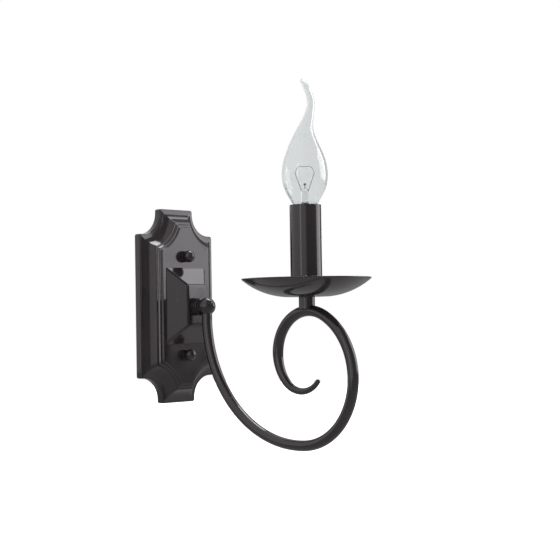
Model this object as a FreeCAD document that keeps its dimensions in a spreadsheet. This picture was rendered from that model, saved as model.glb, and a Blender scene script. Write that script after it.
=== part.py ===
"""Torch sconce: a single-arm candle wall light on a moulded backplate.

Frame: millimetres, +Z up, +X to the right for someone facing the wall.  The wall is the
plane Y = 0 and the lamp stands out towards -Y.  The origin is the middle of the backplate
on the wall.  "out" in a name means a distance from the wall, so its Y is minus that value.
"""
import FreeCAD, Part
import math
import os
import re
import Sketcher

Vector = FreeCAD.Vector

# Driving dimensions, in millimetres and degrees.
SIZES = {
    # backplate: a pressed shell with scooped corners and a raised boss
    "plate_width": 81.8,
    "plate_height": 162.0,
    "plate_wall": 1.2,
    "scoop_radius": 18.2,
    "scoop_side_run": 4.2,
    "scoop_top_run": 3.2,
    "rim_depth": 6.0,
    "rim_ledge": 1.4,
    "cove_low_inset": 4.6,
    "cove_low_depth": 6.9,
    "cove_high_inset": 8.3,
    "cove_high_depth": 9.4,
    "ridge_inset": 11.2,
    "ridge_depth": 13.6,
    "bead_inset": 13.6,
    "bead_depth": 15.2,
    "panel_inset": 15.8,
    "panel_depth": 16.7,
    "step_ledge": 1.5,
    "boss_foot_width": 43.8,
    "boss_foot_height": 63.1,
    "boss_top_width": 19.1,
    "boss_top_height": 33.6,
    "boss_depth": 30.1,
    # strap on the wall, its studs and the cap nuts that hold the plate
    "strap_end": 7.0,
    "strap_width": 22.0,
    "strap_thick": 1.5,
    "slot_spacing": 104.0,
    "slot_width": 5.0,
    "slot_length": 11.0,
    "cable_hole": 12.0,
    "stud_spacing": 82.0,
    "stud_diameter": 4.0,
    "stud_reach": 23.5,
    "stud_hole_play": 0.5,
    "stud_chamfer": 0.5,
    "stud_nut_flats": 7.0,
    "stud_nut_thick": 3.2,
    "nut_play": 0.05,
    "cap_washer_diameter": 9.4,
    "cap_washer_thick": 1.1,
    "cap_ball_diameter": 10.0,
    "cap_neck_diameter": 8.0,
    "cap_neck_rise": 0.4,
    "cap_top_thick": 2.4,
    # hub: a turned fitting with a ringed neck and a ball that takes the arm
    "hub_drop": 1.0,
    "nipple_diameter": 10.0,
    "nipple_bore": 7.0,
    "hub_nipple_start": 22.5,
    "hub_thread_length": 4.6,
    "hub_neck_diameter": 14.8,
    "hub_ring_width": 1.4,
    "hub_ring_groove": 0.9,
    "hub_ring_depth": 0.7,
    "hub_throat_diameter": 10.0,
    "hub_ball_diameter": 14.6,
    "hub_ball_out": 41.8,
    "hub_passage": 5.0,
    "button_diameter": 6.2,
    "button_rim": 0.4,
    "button_rise": 1.1,
    "button_stem": 3.0,
    "lock_nut_flats": 14.0,
    "lock_nut_thick": 3.0,
    "star_washer_diameter": 14.4,
    "star_washer_thick": 0.8,
    "thread_play": 0.2,
    # scroll arm: one bent tube, four radii, drawn down to a round tip
    "tube_diameter": 8.5,
    "tube_wall": 1.2,
    "tip_diameter": 3.9,
    "arm_drop": 10.0,
    "sweep_radius": 100.0,
    "sweep_angle": 94.4,
    "ring_radius": 53.0,
    "ring_angle": 147.5,
    "curl_radius": 33.0,
    "curl_angle": 115.5,
    "curl_taper_angle": 42.0,
    "tail_radius": 22.0,
    "tail_angle": 100.0,
    "wire_exit_bore": 5.0,
    # candle: neck, drip dish, sleeve
    "neck_diameter": 12.5,
    "neck_lap": 3.0,
    "neck_rise": 10.47,
    "candle_setback": 1.6,
    "dish_diameter": 100.0,
    "dish_flat_diameter": 25.0,
    "dish_curve_radius": 58.0,
    "dish_wall": 1.0,
    "dish_nut_thick": 3.6,
    "candle_diameter": 24.5,
    "candle_wall": 0.9,
    "candle_length": 69.45,
    "seat_gap": 0.3,
    # lampholder
    "bracket_width": 9.0,
    "bracket_thick": 1.2,
    "bracket_base_diameter": 15.0,
    "bracket_reach": 8.0,
    "bracket_overlap": 10.0,
    "bracket_nut_thick": 2.4,
    "nipple_spare": 1.0,
    "holder_length": 27.0,
    "holder_diameter": 20.6,
    "holder_flange_diameter": 21.6,
    "holder_flange_length": 4.0,
    "holder_top_gap": 7.0,
    "holder_floor": 4.0,
    "shell_wall": 0.5,
    "shell_floor_gap": 1.0,
    "screw_play": 0.06,
    "contact_diameter": 6.0,
    "contact_thick": 0.5,
    "holder_screw_diameter": 2.5,
    "holder_screw_head": 4.6,
    "holder_screw_head_thick": 1.6,
    "holder_screw_depth": 2.4,
    "terminal_screw_diameter": 3.0,
    "terminal_screw_length": 4.4,
    "terminal_screw_spacing": 8.4,
    "terminal_screw_out": 9.0,
    # bulb: clear glass with a bent tip, small screw cap
    "cap_diameter": 13.6,
    "cap_length": 17.0,
    "cap_wall": 0.4,
    "cap_insulator_length": 3.6,
    "cap_insulator_diameter": 9.4,
    "cap_taper": 1.6,
    "cap_stand": 1.5,
    "bulb_contact_diameter": 4.4,
    "bulb_contact_height": 1.6,
    "glass_wall": 0.8,
    "glass_neck_diameter": 12.7,
    "glass_neck_sink": 3.0,
    "bulb_diameter": 35.6,
    "bulb_length": 102.7,
    "tail_bow": 5.6,
    "tail_curl": 1.8,
    "tip_share": 0.6,
    "bulb_facing_angle": -46.5,
    "stem_foot_thick": 0.6,
    "stem_flare_length": 11.0,
    "stem_diameter": 5.6,
    "stem_length": 22.1,
    "stem_play": 0.1,
    "lead_diameter": 0.6,
    "lead_foot_spread": 4.6,
    "lead_spread": 7.4,
    "lead_rise": 14.4,
    "filament_diameter": 0.8,
    "filament_rise": 4.8,
    "filament_crown": 9.2,
    # wiring behind the plate and inside the arm
    "wire_diameter": 1.8,
    "wire_spacing": 2.1,
    "wire_entry": 7.0,
    "wire_sway_radius": 6.0,
    "wire_plate_bend": 5.0,
    "wire_hub_bend": 4.0,
    "wire_neck_bend": 4.0,
    "terminal_width": 15.0,
    "terminal_height": 16.0,
    "terminal_depth": 11.0,
    "terminal_top_drop": 14.0,
    "terminal_bore": 3.4,
    "terminal_play": 0.2,
    "terminal_pitch": 6.8,
    "terminal_inset": 1.0,
    "fixing_screw_diameter": 2.5,
    "fixing_screw_head": 4.4,
    "fixing_screw_head_thick": 1.4,
    "pole_screw_diameter": 2.8,
    "pole_screw_proud": 0.3,
    "earth_screw_level": 24.0,
    "earth_screw_diameter": 4.0,
    "earth_screw_head": 8.0,
    "earth_screw_head_thick": 2.4,
    "earth_cup_diameter": 9.0,
    "earth_cup_thick": 1.0,
}

doc = FreeCAD.newDocument("torch_sconce")
sheet = doc.addObject("Spreadsheet::Sheet", "dims")
for row, (alias, amount) in enumerate(SIZES.items(), start=1):
    sheet.set("A%d" % row, alias)
    sheet.set("B%d" % row, str(amount))
    sheet.setAlias("B%d" % row, alias)
doc.recompute()

ALIAS = re.compile(r"\b(%s)\b" % "|".join(sorted(SIZES, key=len, reverse=True)))
nodes = []


# ---------------------------------------------------------------- expressions and helpers
def cell(text):
    """The same formula with every named size read from the sheet."""
    return ALIAS.sub(r"dims.\1", str(text))


def value(text):
    """What a formula of named sizes comes to now."""
    return float(sheet.evalExpression(cell(text)))


def bind(thing, **formulas):
    """Tie properties of a document object to formulas of named sizes."""
    for name, formula in formulas.items():
        thing.setExpression(name, cell(formula))
    return thing


def place(thing, x="0", out="0", up="0", turned=None):
    """Set an object's place: to the right, out from the wall, and up."""
    if turned is not None:
        thing.Placement = FreeCAD.Placement(Vector(), turned)
    thing.setExpression(".Placement.Base.x", cell(x))
    thing.setExpression(".Placement.Base.y", cell("-(%s)" % out))
    thing.setExpression(".Placement.Base.z", cell(up))
    return thing


def node(name, thing):
    """Name a finished sub-part, whose label names its file."""
    thing.Label = name
    nodes.append(thing)
    return thing


OUTWARDS = FreeCAD.Rotation(Vector(1, 0, 0), 90)      # local Z points out from the wall
UPWARDS = FreeCAD.Rotation()


def draw(sketch, path):
    """Draw one closed outline whose corners and radii are formulas.

    Each entry is (x, y) for a straight edge on to the next corner, or (x, y, radius, side)
    for an arc of under half a circle, whose centre is on the left (side 1) or on the
    right (side -1) of the way along it.
    """
    count = len(path)
    corners = [Vector(value(entry[0]), value(entry[1]), 0) for entry in path]
    ends = []
    for index, entry in enumerate(path):
        here = corners[index]
        there = corners[(index + 1) % count]
        if len(entry) == 2:
            edge = sketch.addGeometry(Part.LineSegment(here, there), False)
            ends.append((edge, 1, 2))
            continue
        radius = value(entry[2])
        side = entry[3]
        chord = there - here
        rise = math.sqrt(radius ** 2 - (chord.Length / 2) ** 2)
        left = Vector(-chord.y, chord.x, 0).normalize()
        centre = (here + there) * 0.5 + left * (side * rise)
        first, last = (here, there) if side > 0 else (there, here)
        begin = math.atan2(first.y - centre.y, first.x - centre.x)
        end = math.atan2(last.y - centre.y, last.x - centre.x)
        if end < begin:
            end += 2 * math.pi
        circle = Part.Circle(centre, Vector(0, 0, 1), radius)
        edge = sketch.addGeometry(Part.ArcOfCircle(circle, begin, end), False)
        ends.append((edge, 1, 2) if side > 0 else (edge, 2, 1))
    for index, entry in enumerate(path):
        edge, start, finish = ends[index]
        following, next_start, _ = ends[(index + 1) % count]
        sketch.addConstraint(Sketcher.Constraint("Coincident", edge, finish, following, next_start))
        for kind, formula in (("DistanceX", entry[0]), ("DistanceY", entry[1])):
            number = sketch.addConstraint(
                Sketcher.Constraint(kind, -1, 1, edge, start, value(formula)))
            sketch.setExpression("Constraints[%d]" % number, cell(formula))
        if len(entry) == 4:
            number = sketch.addConstraint(Sketcher.Constraint("Radius", edge, value(entry[2])))
            sketch.setExpression("Constraints[%d]" % number, cell(entry[2]))


def sketch_in(body, role):
    """A sketch on one of the body's own origin planes."""
    plane = [item for item in body.Origin.OriginFeatures if item.Role == role][0]
    sketch = body.newObject("Sketcher::SketchObject", body.Name + "_sketch")
    sketch.AttachmentSupport = [(plane, "")]
    sketch.MapMode = "FlatFace"
    return sketch


def turned(name, profile, rotation=UPWARDS, **where):
    """A lathe-turned piece: profile corners are (radius, height) round the local Z axis."""
    body = doc.addObject("PartDesign::Body", name)
    sketch = sketch_in(body, "XZ_Plane")
    draw(sketch, profile)
    feature = body.newObject("PartDesign::Revolution", name + "_turning")
    feature.Profile = sketch
    feature.ReferenceAxis = (sketch, ["V_Axis"])
    feature.Angle = 360
    body.Tip = feature
    return place(body, turned=rotation, **where)


def rod(name, radius, length, rotation=UPWARDS, **where):
    """A plain round bar from its place along local Z."""
    bar = bind(doc.addObject("Part::Cylinder", name), Radius=radius, Height=length)
    return place(bar, turned=rotation, **where)


def tube(name, radius, bore, length, rotation=UPWARDS, **where):
    """A plain round tube from its place along local Z."""
    return turned(name, [(bore, "0"), (radius, "0"), (radius, length), (bore, length)],
                  rotation, **where)


def block(name, width, depth, height, x="0", out="0", up="0"):
    """A box centred in X on its place, from out and up, reaching outwards and upwards."""
    box = bind(doc.addObject("Part::Box", name), Length=width, Width=depth, Height=height)
    return place(box, x="(%s) - (%s) / 2" % (x, width), out="(%s) + (%s)" % (out, depth), up=up)


def prism(name, flats, length, rotation=UPWARDS, **where):
    """A hexagonal bar, measured across its flats."""
    bar = doc.addObject("Part::Prism", name)
    bar.Polygon = 6
    bind(bar, Circumradius="(%s) / sqrt(3)" % flats, Height=length)
    return place(bar, turned=rotation, **where)


def cut(name, base, *tools):
    """The base with each tool taken out of it."""
    for left, tool in zip(range(len(tools) - 1, -1, -1), tools):
        step = doc.addObject("Part::Cut", "%s_before_%d" % (name, left) if left else name)
        step.Base = base
        step.Tool = tool
        base = step
    return base


def joined(name, *pieces):
    """One solid made of overlapping or touching pieces."""
    union = doc.addObject("Part::MultiFuse", name)
    union.Shapes = list(pieces)
    union.Refine = True
    return union


def gathered(name, pieces):
    """Alike pieces kept together as separate solids."""
    group = doc.addObject("Part::Compound", name)
    group.Links = list(pieces)
    return group


def mirrored_pair(name, piece, normal):
    """The piece and its mirror image as two separate solids."""
    other = doc.addObject("Part::Mirroring", name + "_other")
    other.Source = piece
    other.Normal = normal
    return gathered(name, [piece, other])


def hex_nut(name, flats, thick, bore, rotation, **where):
    """A hexagonal nut with a plain bore."""
    return cut(name, prism(name + "_bar", flats, thick, rotation, **where),
               rod(name + "_bore", bore, thick, rotation, **where))


# ---------------------------------------------------------------- backplate
def scooped_outline(inset, depth):
    """The plate's outline at an inset and a depth: a rectangle with hollow corners.

    All outlines are parallel, so the middle of a hollow stays and its radius grows with the
    inset.  Near the rim a short straight run joins each end of a hollow to the edge.
    """
    wide, tall = value("plate_width / 2") - inset, value("plate_height / 2") - inset
    across = value("plate_width / 2 - scoop_side_run")
    up = value("plate_height / 2 - scoop_top_run")
    radius = value("scoop_radius") + inset
    start = math.asin(max(0, up - tall) / radius)
    finish = math.acos(max(0, across - wide) / radius)
    corner = []
    if tall > up:
        corner.append((across - radius, tall))
    for step in range(8):
        angle = start + (finish - start) * step / 7
        corner.append((across - radius * math.cos(angle), up - radius * math.sin(angle)))
    if wide > across:
        corner.append((wide, up - radius))
    edges = []
    corners = ((1, 1), (1, -1), (-1, -1), (-1, 1))
    for index, (right, top) in enumerate(corners):
        points = corner if right * top > 0 else corner[::-1]
        curve = Part.BSplineCurve()
        curve.interpolate([Vector(right * x, -depth, top * z) for x, z in points])
        edges.append(curve.toShape())
        x, z = points[-1]
        next_right, next_top = corners[(index + 1) % 4]
        edges.append(Part.LineSegment(Vector(right * x, -depth, top * z),
                                      Vector(next_right * x, -depth, next_top * z)).toShape())
    return Part.Wire(edges)


def rectangle_outline(width, height, depth):
    """A plain rectangle at a depth, level with the middle of the plate."""
    x, z = width / 2, height / 2
    return Part.makePolygon([Vector(x, -depth, z), Vector(x, -depth, -z), Vector(-x, -depth, -z),
                             Vector(-x, -depth, z), Vector(x, -depth, z)])


def moulding(stations, smooth=False):
    """A solid through scooped outlines, each given by its inset and depth."""
    return Part.makeLoft([scooped_outline(inset, depth) for inset, depth in stations],
                         True, not smooth)


def plate_solid():
    """The shell: outer moulding and boss, less the same form one wall inside it."""
    rim_depth, ledge = value("rim_depth"), value("rim_ledge")
    wall, step = value("plate_wall"), value("step_ledge")
    cove = [(ledge, rim_depth),
            (value("cove_low_inset"), value("cove_low_depth")),
            (value("cove_high_inset"), value("cove_high_depth")),
            (value("ridge_inset"), value("ridge_depth"))]
    ridge_ledge = value("ridge_inset") + step
    bead_ledge = value("bead_inset") + step
    outer = [
        moulding([(0, 0), (0, rim_depth)]),
        moulding(cove, smooth=True),
        moulding([(ridge_ledge, value("ridge_depth")), (value("bead_inset"), value("bead_depth"))]),
        moulding([(bead_ledge, value("bead_depth")), (value("panel_inset"), value("panel_depth"))]),
        Part.makeLoft([
            rectangle_outline(value("boss_foot_width"), value("boss_foot_height"), value("panel_depth")),
            rectangle_outline(value("boss_top_width"), value("boss_top_height"), value("boss_depth")),
        ], True, True),
    ]
    inner = [
        moulding([(wall, 0), (wall, rim_depth - wall)]),
        moulding([(inset + wall, depth - wall) for inset, depth in cove], smooth=True),
        moulding([(ridge_ledge + wall, value("ridge_depth") - wall),
                  (value("panel_inset") + wall, value("panel_depth") - wall)]),
        Part.makeLoft([
            rectangle_outline(value("boss_foot_width") - 2 * wall,
                              value("boss_foot_height") - 2 * wall, value("panel_depth") - wall),
            rectangle_outline(value("boss_top_width") - 2 * wall,
                              value("boss_top_height") - 2 * wall, value("boss_depth") - wall),
        ], True, True),
    ]
    form = outer[0].fuse(outer[1:]).removeSplitter()
    hollow = inner[0].fuse(inner[1:]).removeSplitter()
    return form.cut(hollow).Solids[0]


def build_backplate():
    """The moulded plate with its hub hole and its two stud holes."""
    blank = doc.addObject("Part::Feature", "backplate_blank")
    blank.Shape = plate_solid()
    hub_hole = rod("backplate_hub_hole", "nipple_diameter / 2 + thread_play", "2 * boss_depth",
                   OUTWARDS, up="-hub_drop")
    stud_radius = "(stud_diameter + stud_hole_play) / 2"
    top_hole = rod("backplate_top_hole", stud_radius, "boss_depth", OUTWARDS, up="stud_spacing / 2")
    low_hole = rod("backplate_low_hole", stud_radius, "boss_depth", OUTWARDS, up="-stud_spacing / 2")
    node("backplate", cut("backplate", blank, hub_hole, top_hole, low_hole))


# ---------------------------------------------------------------- strap, studs and cap nuts
FIXING_UP = "(-terminal_top_drop - terminal_height / 2)"


def build_strap():
    """The strap that is screwed to the wall, and the earth screw on it."""
    bar = block("strap_bar", "strap_width", "strap_thick", "slot_spacing + 2 * strap_end",
                up="-(slot_spacing / 2 + strap_end)")
    cable = rod("strap_cable_hole", "cable_hole / 2", "strap_thick", OUTWARDS)
    cuts = [cable]
    for side, sign in (("top", "1"), ("low", "-1")):
        level = "%s * slot_spacing / 2" % sign
        cuts.append(block("strap_%s_slot" % side, "slot_width", "strap_thick",
                          "slot_length - slot_width",
                          up="%s - (slot_length - slot_width) / 2" % level))
        for end, shift in (("upper", "1"), ("lower", "-1")):
            centre = "%s + %s * (slot_length - slot_width) / 2" % (level, shift)
            cuts.append(rod("strap_%s_slot_%s_end" % (side, end), "slot_width / 2",
                            "strap_thick", OUTWARDS, up=centre))
        cuts.append(rod("strap_%s_stud_hole" % side, "stud_diameter / 2", "strap_thick",
                        OUTWARDS, up="%s * stud_spacing / 2" % sign))
    cuts.append(rod("strap_earth_hole", "earth_screw_diameter / 2", "strap_thick", OUTWARDS,
                    up="earth_screw_level"))
    cuts.append(rod("strap_terminal_hole", "fixing_screw_diameter / 2", "strap_thick", OUTWARDS,
                    up=FIXING_UP))
    node("mounting_strap", cut("mounting_strap", bar, *cuts))
    node("earth_washer", tube("earth_washer", "earth_cup_diameter / 2", "earth_screw_diameter / 2",
                              "earth_cup_thick", OUTWARDS, out="strap_thick",
                              up="earth_screw_level"))
    head_out = "strap_thick + earth_cup_thick"
    shank = "earth_screw_diameter / 2"
    head = "earth_screw_head / 2"
    node("earth_screw", turned("earth_screw", [
        ("0", "-(%s)" % head_out), (shank, "-(%s)" % head_out), (shank, "0"), (head, "0"),
        (head, "earth_screw_head_thick"), ("0", "earth_screw_head_thick")],
        OUTWARDS, out=head_out, up="earth_screw_level"))


def build_studs():
    """Two studs through the strap, each with its nut, and the ball-headed cap nuts."""
    shank = "stud_diameter / 2"
    level = "stud_spacing / 2"
    upper = turned("stud", [
        ("0", "0"), (shank, "0"), (shank, "stud_reach - stud_chamfer"),
        ("%s - stud_chamfer" % shank, "stud_reach"), ("0", "stud_reach")], OUTWARDS, up=level)
    node("studs", mirrored_pair("studs", upper, Vector(0, 0, 1)))
    nut = hex_nut("stud_nut", "stud_nut_flats", "stud_nut_thick", shank, OUTWARDS,
                  out="strap_thick", up=level)
    node("stud_lock_nuts", mirrored_pair("stud_lock_nuts", nut, Vector(0, 0, 1)))
    ball, neck = "cap_ball_diameter / 2", "cap_neck_diameter / 2"
    bore = "stud_diameter / 2 + nut_play"
    centre = "cap_neck_rise + sqrt((%s) ^ 2 - (%s) ^ 2)" % (ball, neck)
    for side, sign in (("upper", "1"), ("lower", "-1")):
        where = "%s * stud_spacing / 2" % sign
        node(side + "_cap_washer", tube(side + "_cap_washer", "cap_washer_diameter / 2", bore,
                                        "cap_washer_thick", OUTWARDS, out="panel_depth", up=where))
        top = "%s + %s" % (centre, ball)
        node(side + "_cap_nut", turned(side + "_cap_nut", [
            (bore, "0"), (neck, "0"), (neck, "cap_neck_rise", ball, 1),
            (ball, centre, ball, 1), ("0", top), ("0", "%s - cap_top_thick" % top),
            (bore, "%s - cap_top_thick" % top)], OUTWARDS,
            out="panel_depth + cap_washer_thick", up=where))


# ---------------------------------------------------------------- hub
HUB_UP = "-hub_drop"


def build_hub():
    """The nipple through the boss, its washer and nut, and the turned hub that takes the arm."""
    thread, bore = "nipple_diameter / 2", "nipple_bore / 2"
    node("hub_nipple", tube("hub_nipple", thread, bore,
                            "boss_depth + hub_thread_length - hub_nipple_start",
                            OUTWARDS, out="hub_nipple_start", up=HUB_UP))
    washer_out = "boss_depth - plate_wall - star_washer_thick"
    node("hub_washer", tube("hub_washer", "star_washer_diameter / 2", thread,
                            "star_washer_thick", OUTWARDS, out=washer_out, up=HUB_UP))
    node("hub_lock_nut", hex_nut("hub_lock_nut", "lock_nut_flats", "lock_nut_thick", thread,
                                 OUTWARDS, out="%s - lock_nut_thick" % washer_out, up=HUB_UP))

    ball, passage, seat = "hub_ball_diameter / 2", "hub_passage / 2", "button_diameter / 2"
    neck = "hub_neck_diameter / 2"
    groove = "%s - hub_ring_depth" % neck
    centre = "hub_ball_out - boss_depth"
    profile = [(thread, "0")]
    rise = "0"
    for ring in range(3):
        profile.append((neck, rise))
        rise += " + hub_ring_width"
        profile.append((neck, rise))
        if ring < 2:
            profile.append((groove, rise))
            rise += " + hub_ring_groove"
            profile.append((groove, rise))
    throat = "hub_throat_diameter / 2"
    profile += [
        (throat, rise),
        (throat, "%s - sqrt((%s) ^ 2 - (%s) ^ 2)" % (centre, ball, throat), ball, 1),
        (seat, "%s + sqrt((%s) ^ 2 - (%s) ^ 2)" % (centre, ball, seat)),
        (passage, "%s + sqrt((%s) ^ 2 - (%s) ^ 2)" % (centre, ball, seat)),
        (passage, "hub_thread_length"),
        (thread, "hub_thread_length"),
    ]
    turning = turned("hub_turning", profile, OUTWARDS, out="boss_depth", up=HUB_UP)
    socket = rod("hub_socket", "tube_diameter / 2", "%s - %s" % (ball, passage),
                 out="hub_ball_out", up="%s - %s" % (HUB_UP, ball))
    way_down = rod("hub_way_down", passage, ball,
                   out="hub_ball_out", up="%s - %s" % (HUB_UP, ball))
    node("hub_body", cut("hub_body", turning, socket, way_down))

    face = "sqrt((%s) ^ 2 - (%s) ^ 2)" % (ball, seat)
    dome = "((%s) ^ 2 + button_rise ^ 2) / (2 * button_rise)" % seat
    node("hub_button", turned("hub_button", [
        ("0", "%s - button_stem" % face), (passage, "%s - button_stem" % face), (passage, face),
        (seat, face), (seat, "%s + button_rim" % face, dome, 1),
        ("0", "%s + button_rim + button_rise" % face)], OUTWARDS, out="hub_ball_out", up=HUB_UP))


# ---------------------------------------------------------------- scroll arm
# A path lies in a plane of constant X.  Its headings are degrees from outwards towards up,
# and a positive turn is to the left of the way along it.
def straight(start, heading, length):
    """One straight edge and where it ends, as (x, out, up) and heading."""
    x, out, up = start
    angle = math.radians(heading)
    end = (x, out + length * math.cos(angle), up + length * math.sin(angle))
    edge = Part.LineSegment(Vector(x, -out, up), Vector(end[0], -end[1], end[2])).toShape()
    return edge, end, heading


def bend(start, heading, radius, turn):
    """One arc tangent to the heading and where it ends."""
    x, out, up = start
    signed = math.copysign(radius, turn)

    def along(share):
        now, before = math.radians(heading + turn * share), math.radians(heading)
        return (x, out + signed * (math.sin(now) - math.sin(before)),
                up - signed * (math.cos(now) - math.cos(before)))
    points = [Vector(a, -b, c) for a, b, c in (start, along(0.5), along(1))]
    return Part.Arc(*points).toShape(), along(1), heading + turn


def route(start, heading, moves):
    """Tangent edges through straight runs (length,) and bends (radius, turn)."""
    edges = []
    for move in moves:
        step = straight if len(move) == 1 else bend
        edge, start, heading = step(start, heading, *move)
        edges.append(edge)
    return edges, start, heading


def ring_at(edge, radius, end=False):
    """A circle square to an edge at its start or its end."""
    where = edge.LastParameter if end else edge.FirstParameter
    return Part.Wire(Part.makeCircle(radius, edge.valueAt(where), edge.tangentAt(where)))


def bar_along(edges, radius):
    """A round bar along tangent edges."""
    return Part.Wire(edges).makePipeShell([ring_at(edges[0], radius)], True, False)


def drawn_bar(edges, radius, end_radius):
    """A round bar along tangent edges that narrows evenly, with a round end."""
    shell = Part.BRepOffsetAPI.MakePipeShell(Part.Wire(edges))
    shell.add(ring_at(edges[0], radius))
    shell.add(ring_at(edges[-1], end_radius, end=True))
    shell.build()
    shell.makeSolid()
    tip = Part.makeSphere(end_radius, edges[-1].valueAt(edges[-1].LastParameter))
    return shell.shape().fuse(tip)


def sweep_moves():
    """The arm's straight start below the hub and its first two bends."""
    start_drop = value("hub_drop + hub_passage / 2")
    return [(value("arm_drop") - start_drop,),
            (value("sweep_radius"), value("sweep_angle")),
            (value("ring_radius"), value("ring_angle"))]


def build_arm():
    """The bent tube: a full bar and a drawn-down tail, bored as far as the tail."""
    start = (0, value("hub_ball_out"), -value("hub_drop + hub_passage / 2"))
    radius = value("tube_diameter / 2")
    moves = sweep_moves() + [(value("curl_radius"), value("curl_angle"))]
    edges, point, heading = route(start, -90, moves)
    tail, _, _ = route(point, heading, [(value("curl_radius"), value("curl_taper_angle")),
                                        (value("tail_radius"), value("tail_angle"))])
    form = doc.addObject("Part::Feature", "arm_form")
    form.Shape = bar_along(edges, radius).fuse(
        drawn_bar(tail, radius, value("tip_diameter / 2"))).removeSplitter()
    bore = doc.addObject("Part::Feature", "arm_bore")
    bore.Shape = bar_along(edges, radius - value("tube_wall"))
    exit_hole = rod("arm_wire_exit", "wire_exit_bore / 2", "tube_diameter",
                    out=AXIS_OUT, up=CREST_UP + " - tube_diameter / 2")
    node("scroll_arm", cut("scroll_arm", form, bore, exit_hole))
    return form


# The candle stands on the crest of the curl, set back a little from the middle of that bend.
FIRST_HEADING = "(sweep_angle - 90)"
SECOND_HEADING = "(sweep_angle + ring_angle - 90)"
AXIS_OUT = ("(hub_ball_out + sweep_radius + (sweep_radius - ring_radius) * sin(%s)"
            " + (ring_radius - curl_radius) * sin(%s) - candle_setback)"
            % (FIRST_HEADING, SECOND_HEADING))
CREST_UP = ("(-arm_drop - (sweep_radius - ring_radius) * cos(%s)"
            " - (ring_radius - curl_radius) * cos(%s) + curl_radius)"
            % (FIRST_HEADING, SECOND_HEADING))

# ---------------------------------------------------------------- candle
DISH_REACH = "((dish_diameter - dish_flat_diameter) / 2)"
DISH_FOOT = "(%s + neck_rise)" % CREST_UP
DISH_HOLLOW = "(dish_curve_radius - sqrt(dish_curve_radius ^ 2 - %s ^ 2))" % DISH_REACH
DISH_FLOOR = "(%s + dish_wall)" % DISH_FOOT
BRACKET_FOOT = "(%s + dish_nut_thick)" % DISH_FLOOR
CANDLE_FOOT = "(%s + seat_gap)" % DISH_FLOOR
HOLDER_TOP = "(%s + candle_length - holder_top_gap)" % CANDLE_FOOT
HOLDER_FOOT = "(%s - holder_length)" % HOLDER_TOP
CAP_TOP = "(%s + cap_stand)" % HOLDER_TOP
CAP_FOOT = "(%s - cap_length)" % CAP_TOP
CONTACT_TOP = "(%s - cap_insulator_length)" % CAP_FOOT


def build_candle(arm_form):
    """The neck and nipple that straddle the arm, the drip dish, its nut and the sleeve."""
    foot = "(%s + tube_diameter / 2 - neck_lap)" % CREST_UP
    nipple_top = "%s + bracket_thick + bracket_nut_thick + nipple_spare" % BRACKET_FOOT
    neck = tube("neck_blank", "neck_diameter / 2", "nipple_diameter / 2",
                "%s - (%s)" % (DISH_FOOT, foot), out=AXIS_OUT, up=foot)
    node("neck_sleeve", cut("neck_sleeve", neck, arm_form))
    nipple = tube("candle_nipple_blank", "nipple_diameter / 2", "nipple_bore / 2",
                  "%s - (%s)" % (nipple_top, foot), out=AXIS_OUT, up=foot)
    node("candle_nipple", cut("candle_nipple", nipple, arm_form))

    hole = "nipple_diameter / 2 + thread_play"
    flat, rim = "dish_flat_diameter / 2", "dish_diameter / 2"
    inner = "(dish_curve_radius - dish_wall)"
    level = "sqrt(1 - (%s / dish_curve_radius) ^ 2)" % DISH_REACH
    node("drip_dish", turned("drip_dish", [
        (hole, "0"),
        (flat, "0", "dish_curve_radius", 1),
        (rim, DISH_HOLLOW),
        ("%s + %s * %s / dish_curve_radius" % (flat, inner, DISH_REACH),
         "dish_curve_radius - %s * %s" % (inner, level), inner, -1),
        (flat, "dish_wall"),
        (hole, "dish_wall")], out=AXIS_OUT, up=DISH_FOOT))
    node("dish_nut", hex_nut("dish_nut", "lock_nut_flats", "dish_nut_thick",
                             "nipple_diameter / 2", UPWARDS, out=AXIS_OUT, up=DISH_FLOOR))
    node("candle_sleeve", tube("candle_sleeve", "candle_diameter / 2",
                               "candle_diameter / 2 - candle_wall", "candle_length",
                               out=AXIS_OUT, up=CANDLE_FOOT))


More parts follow.
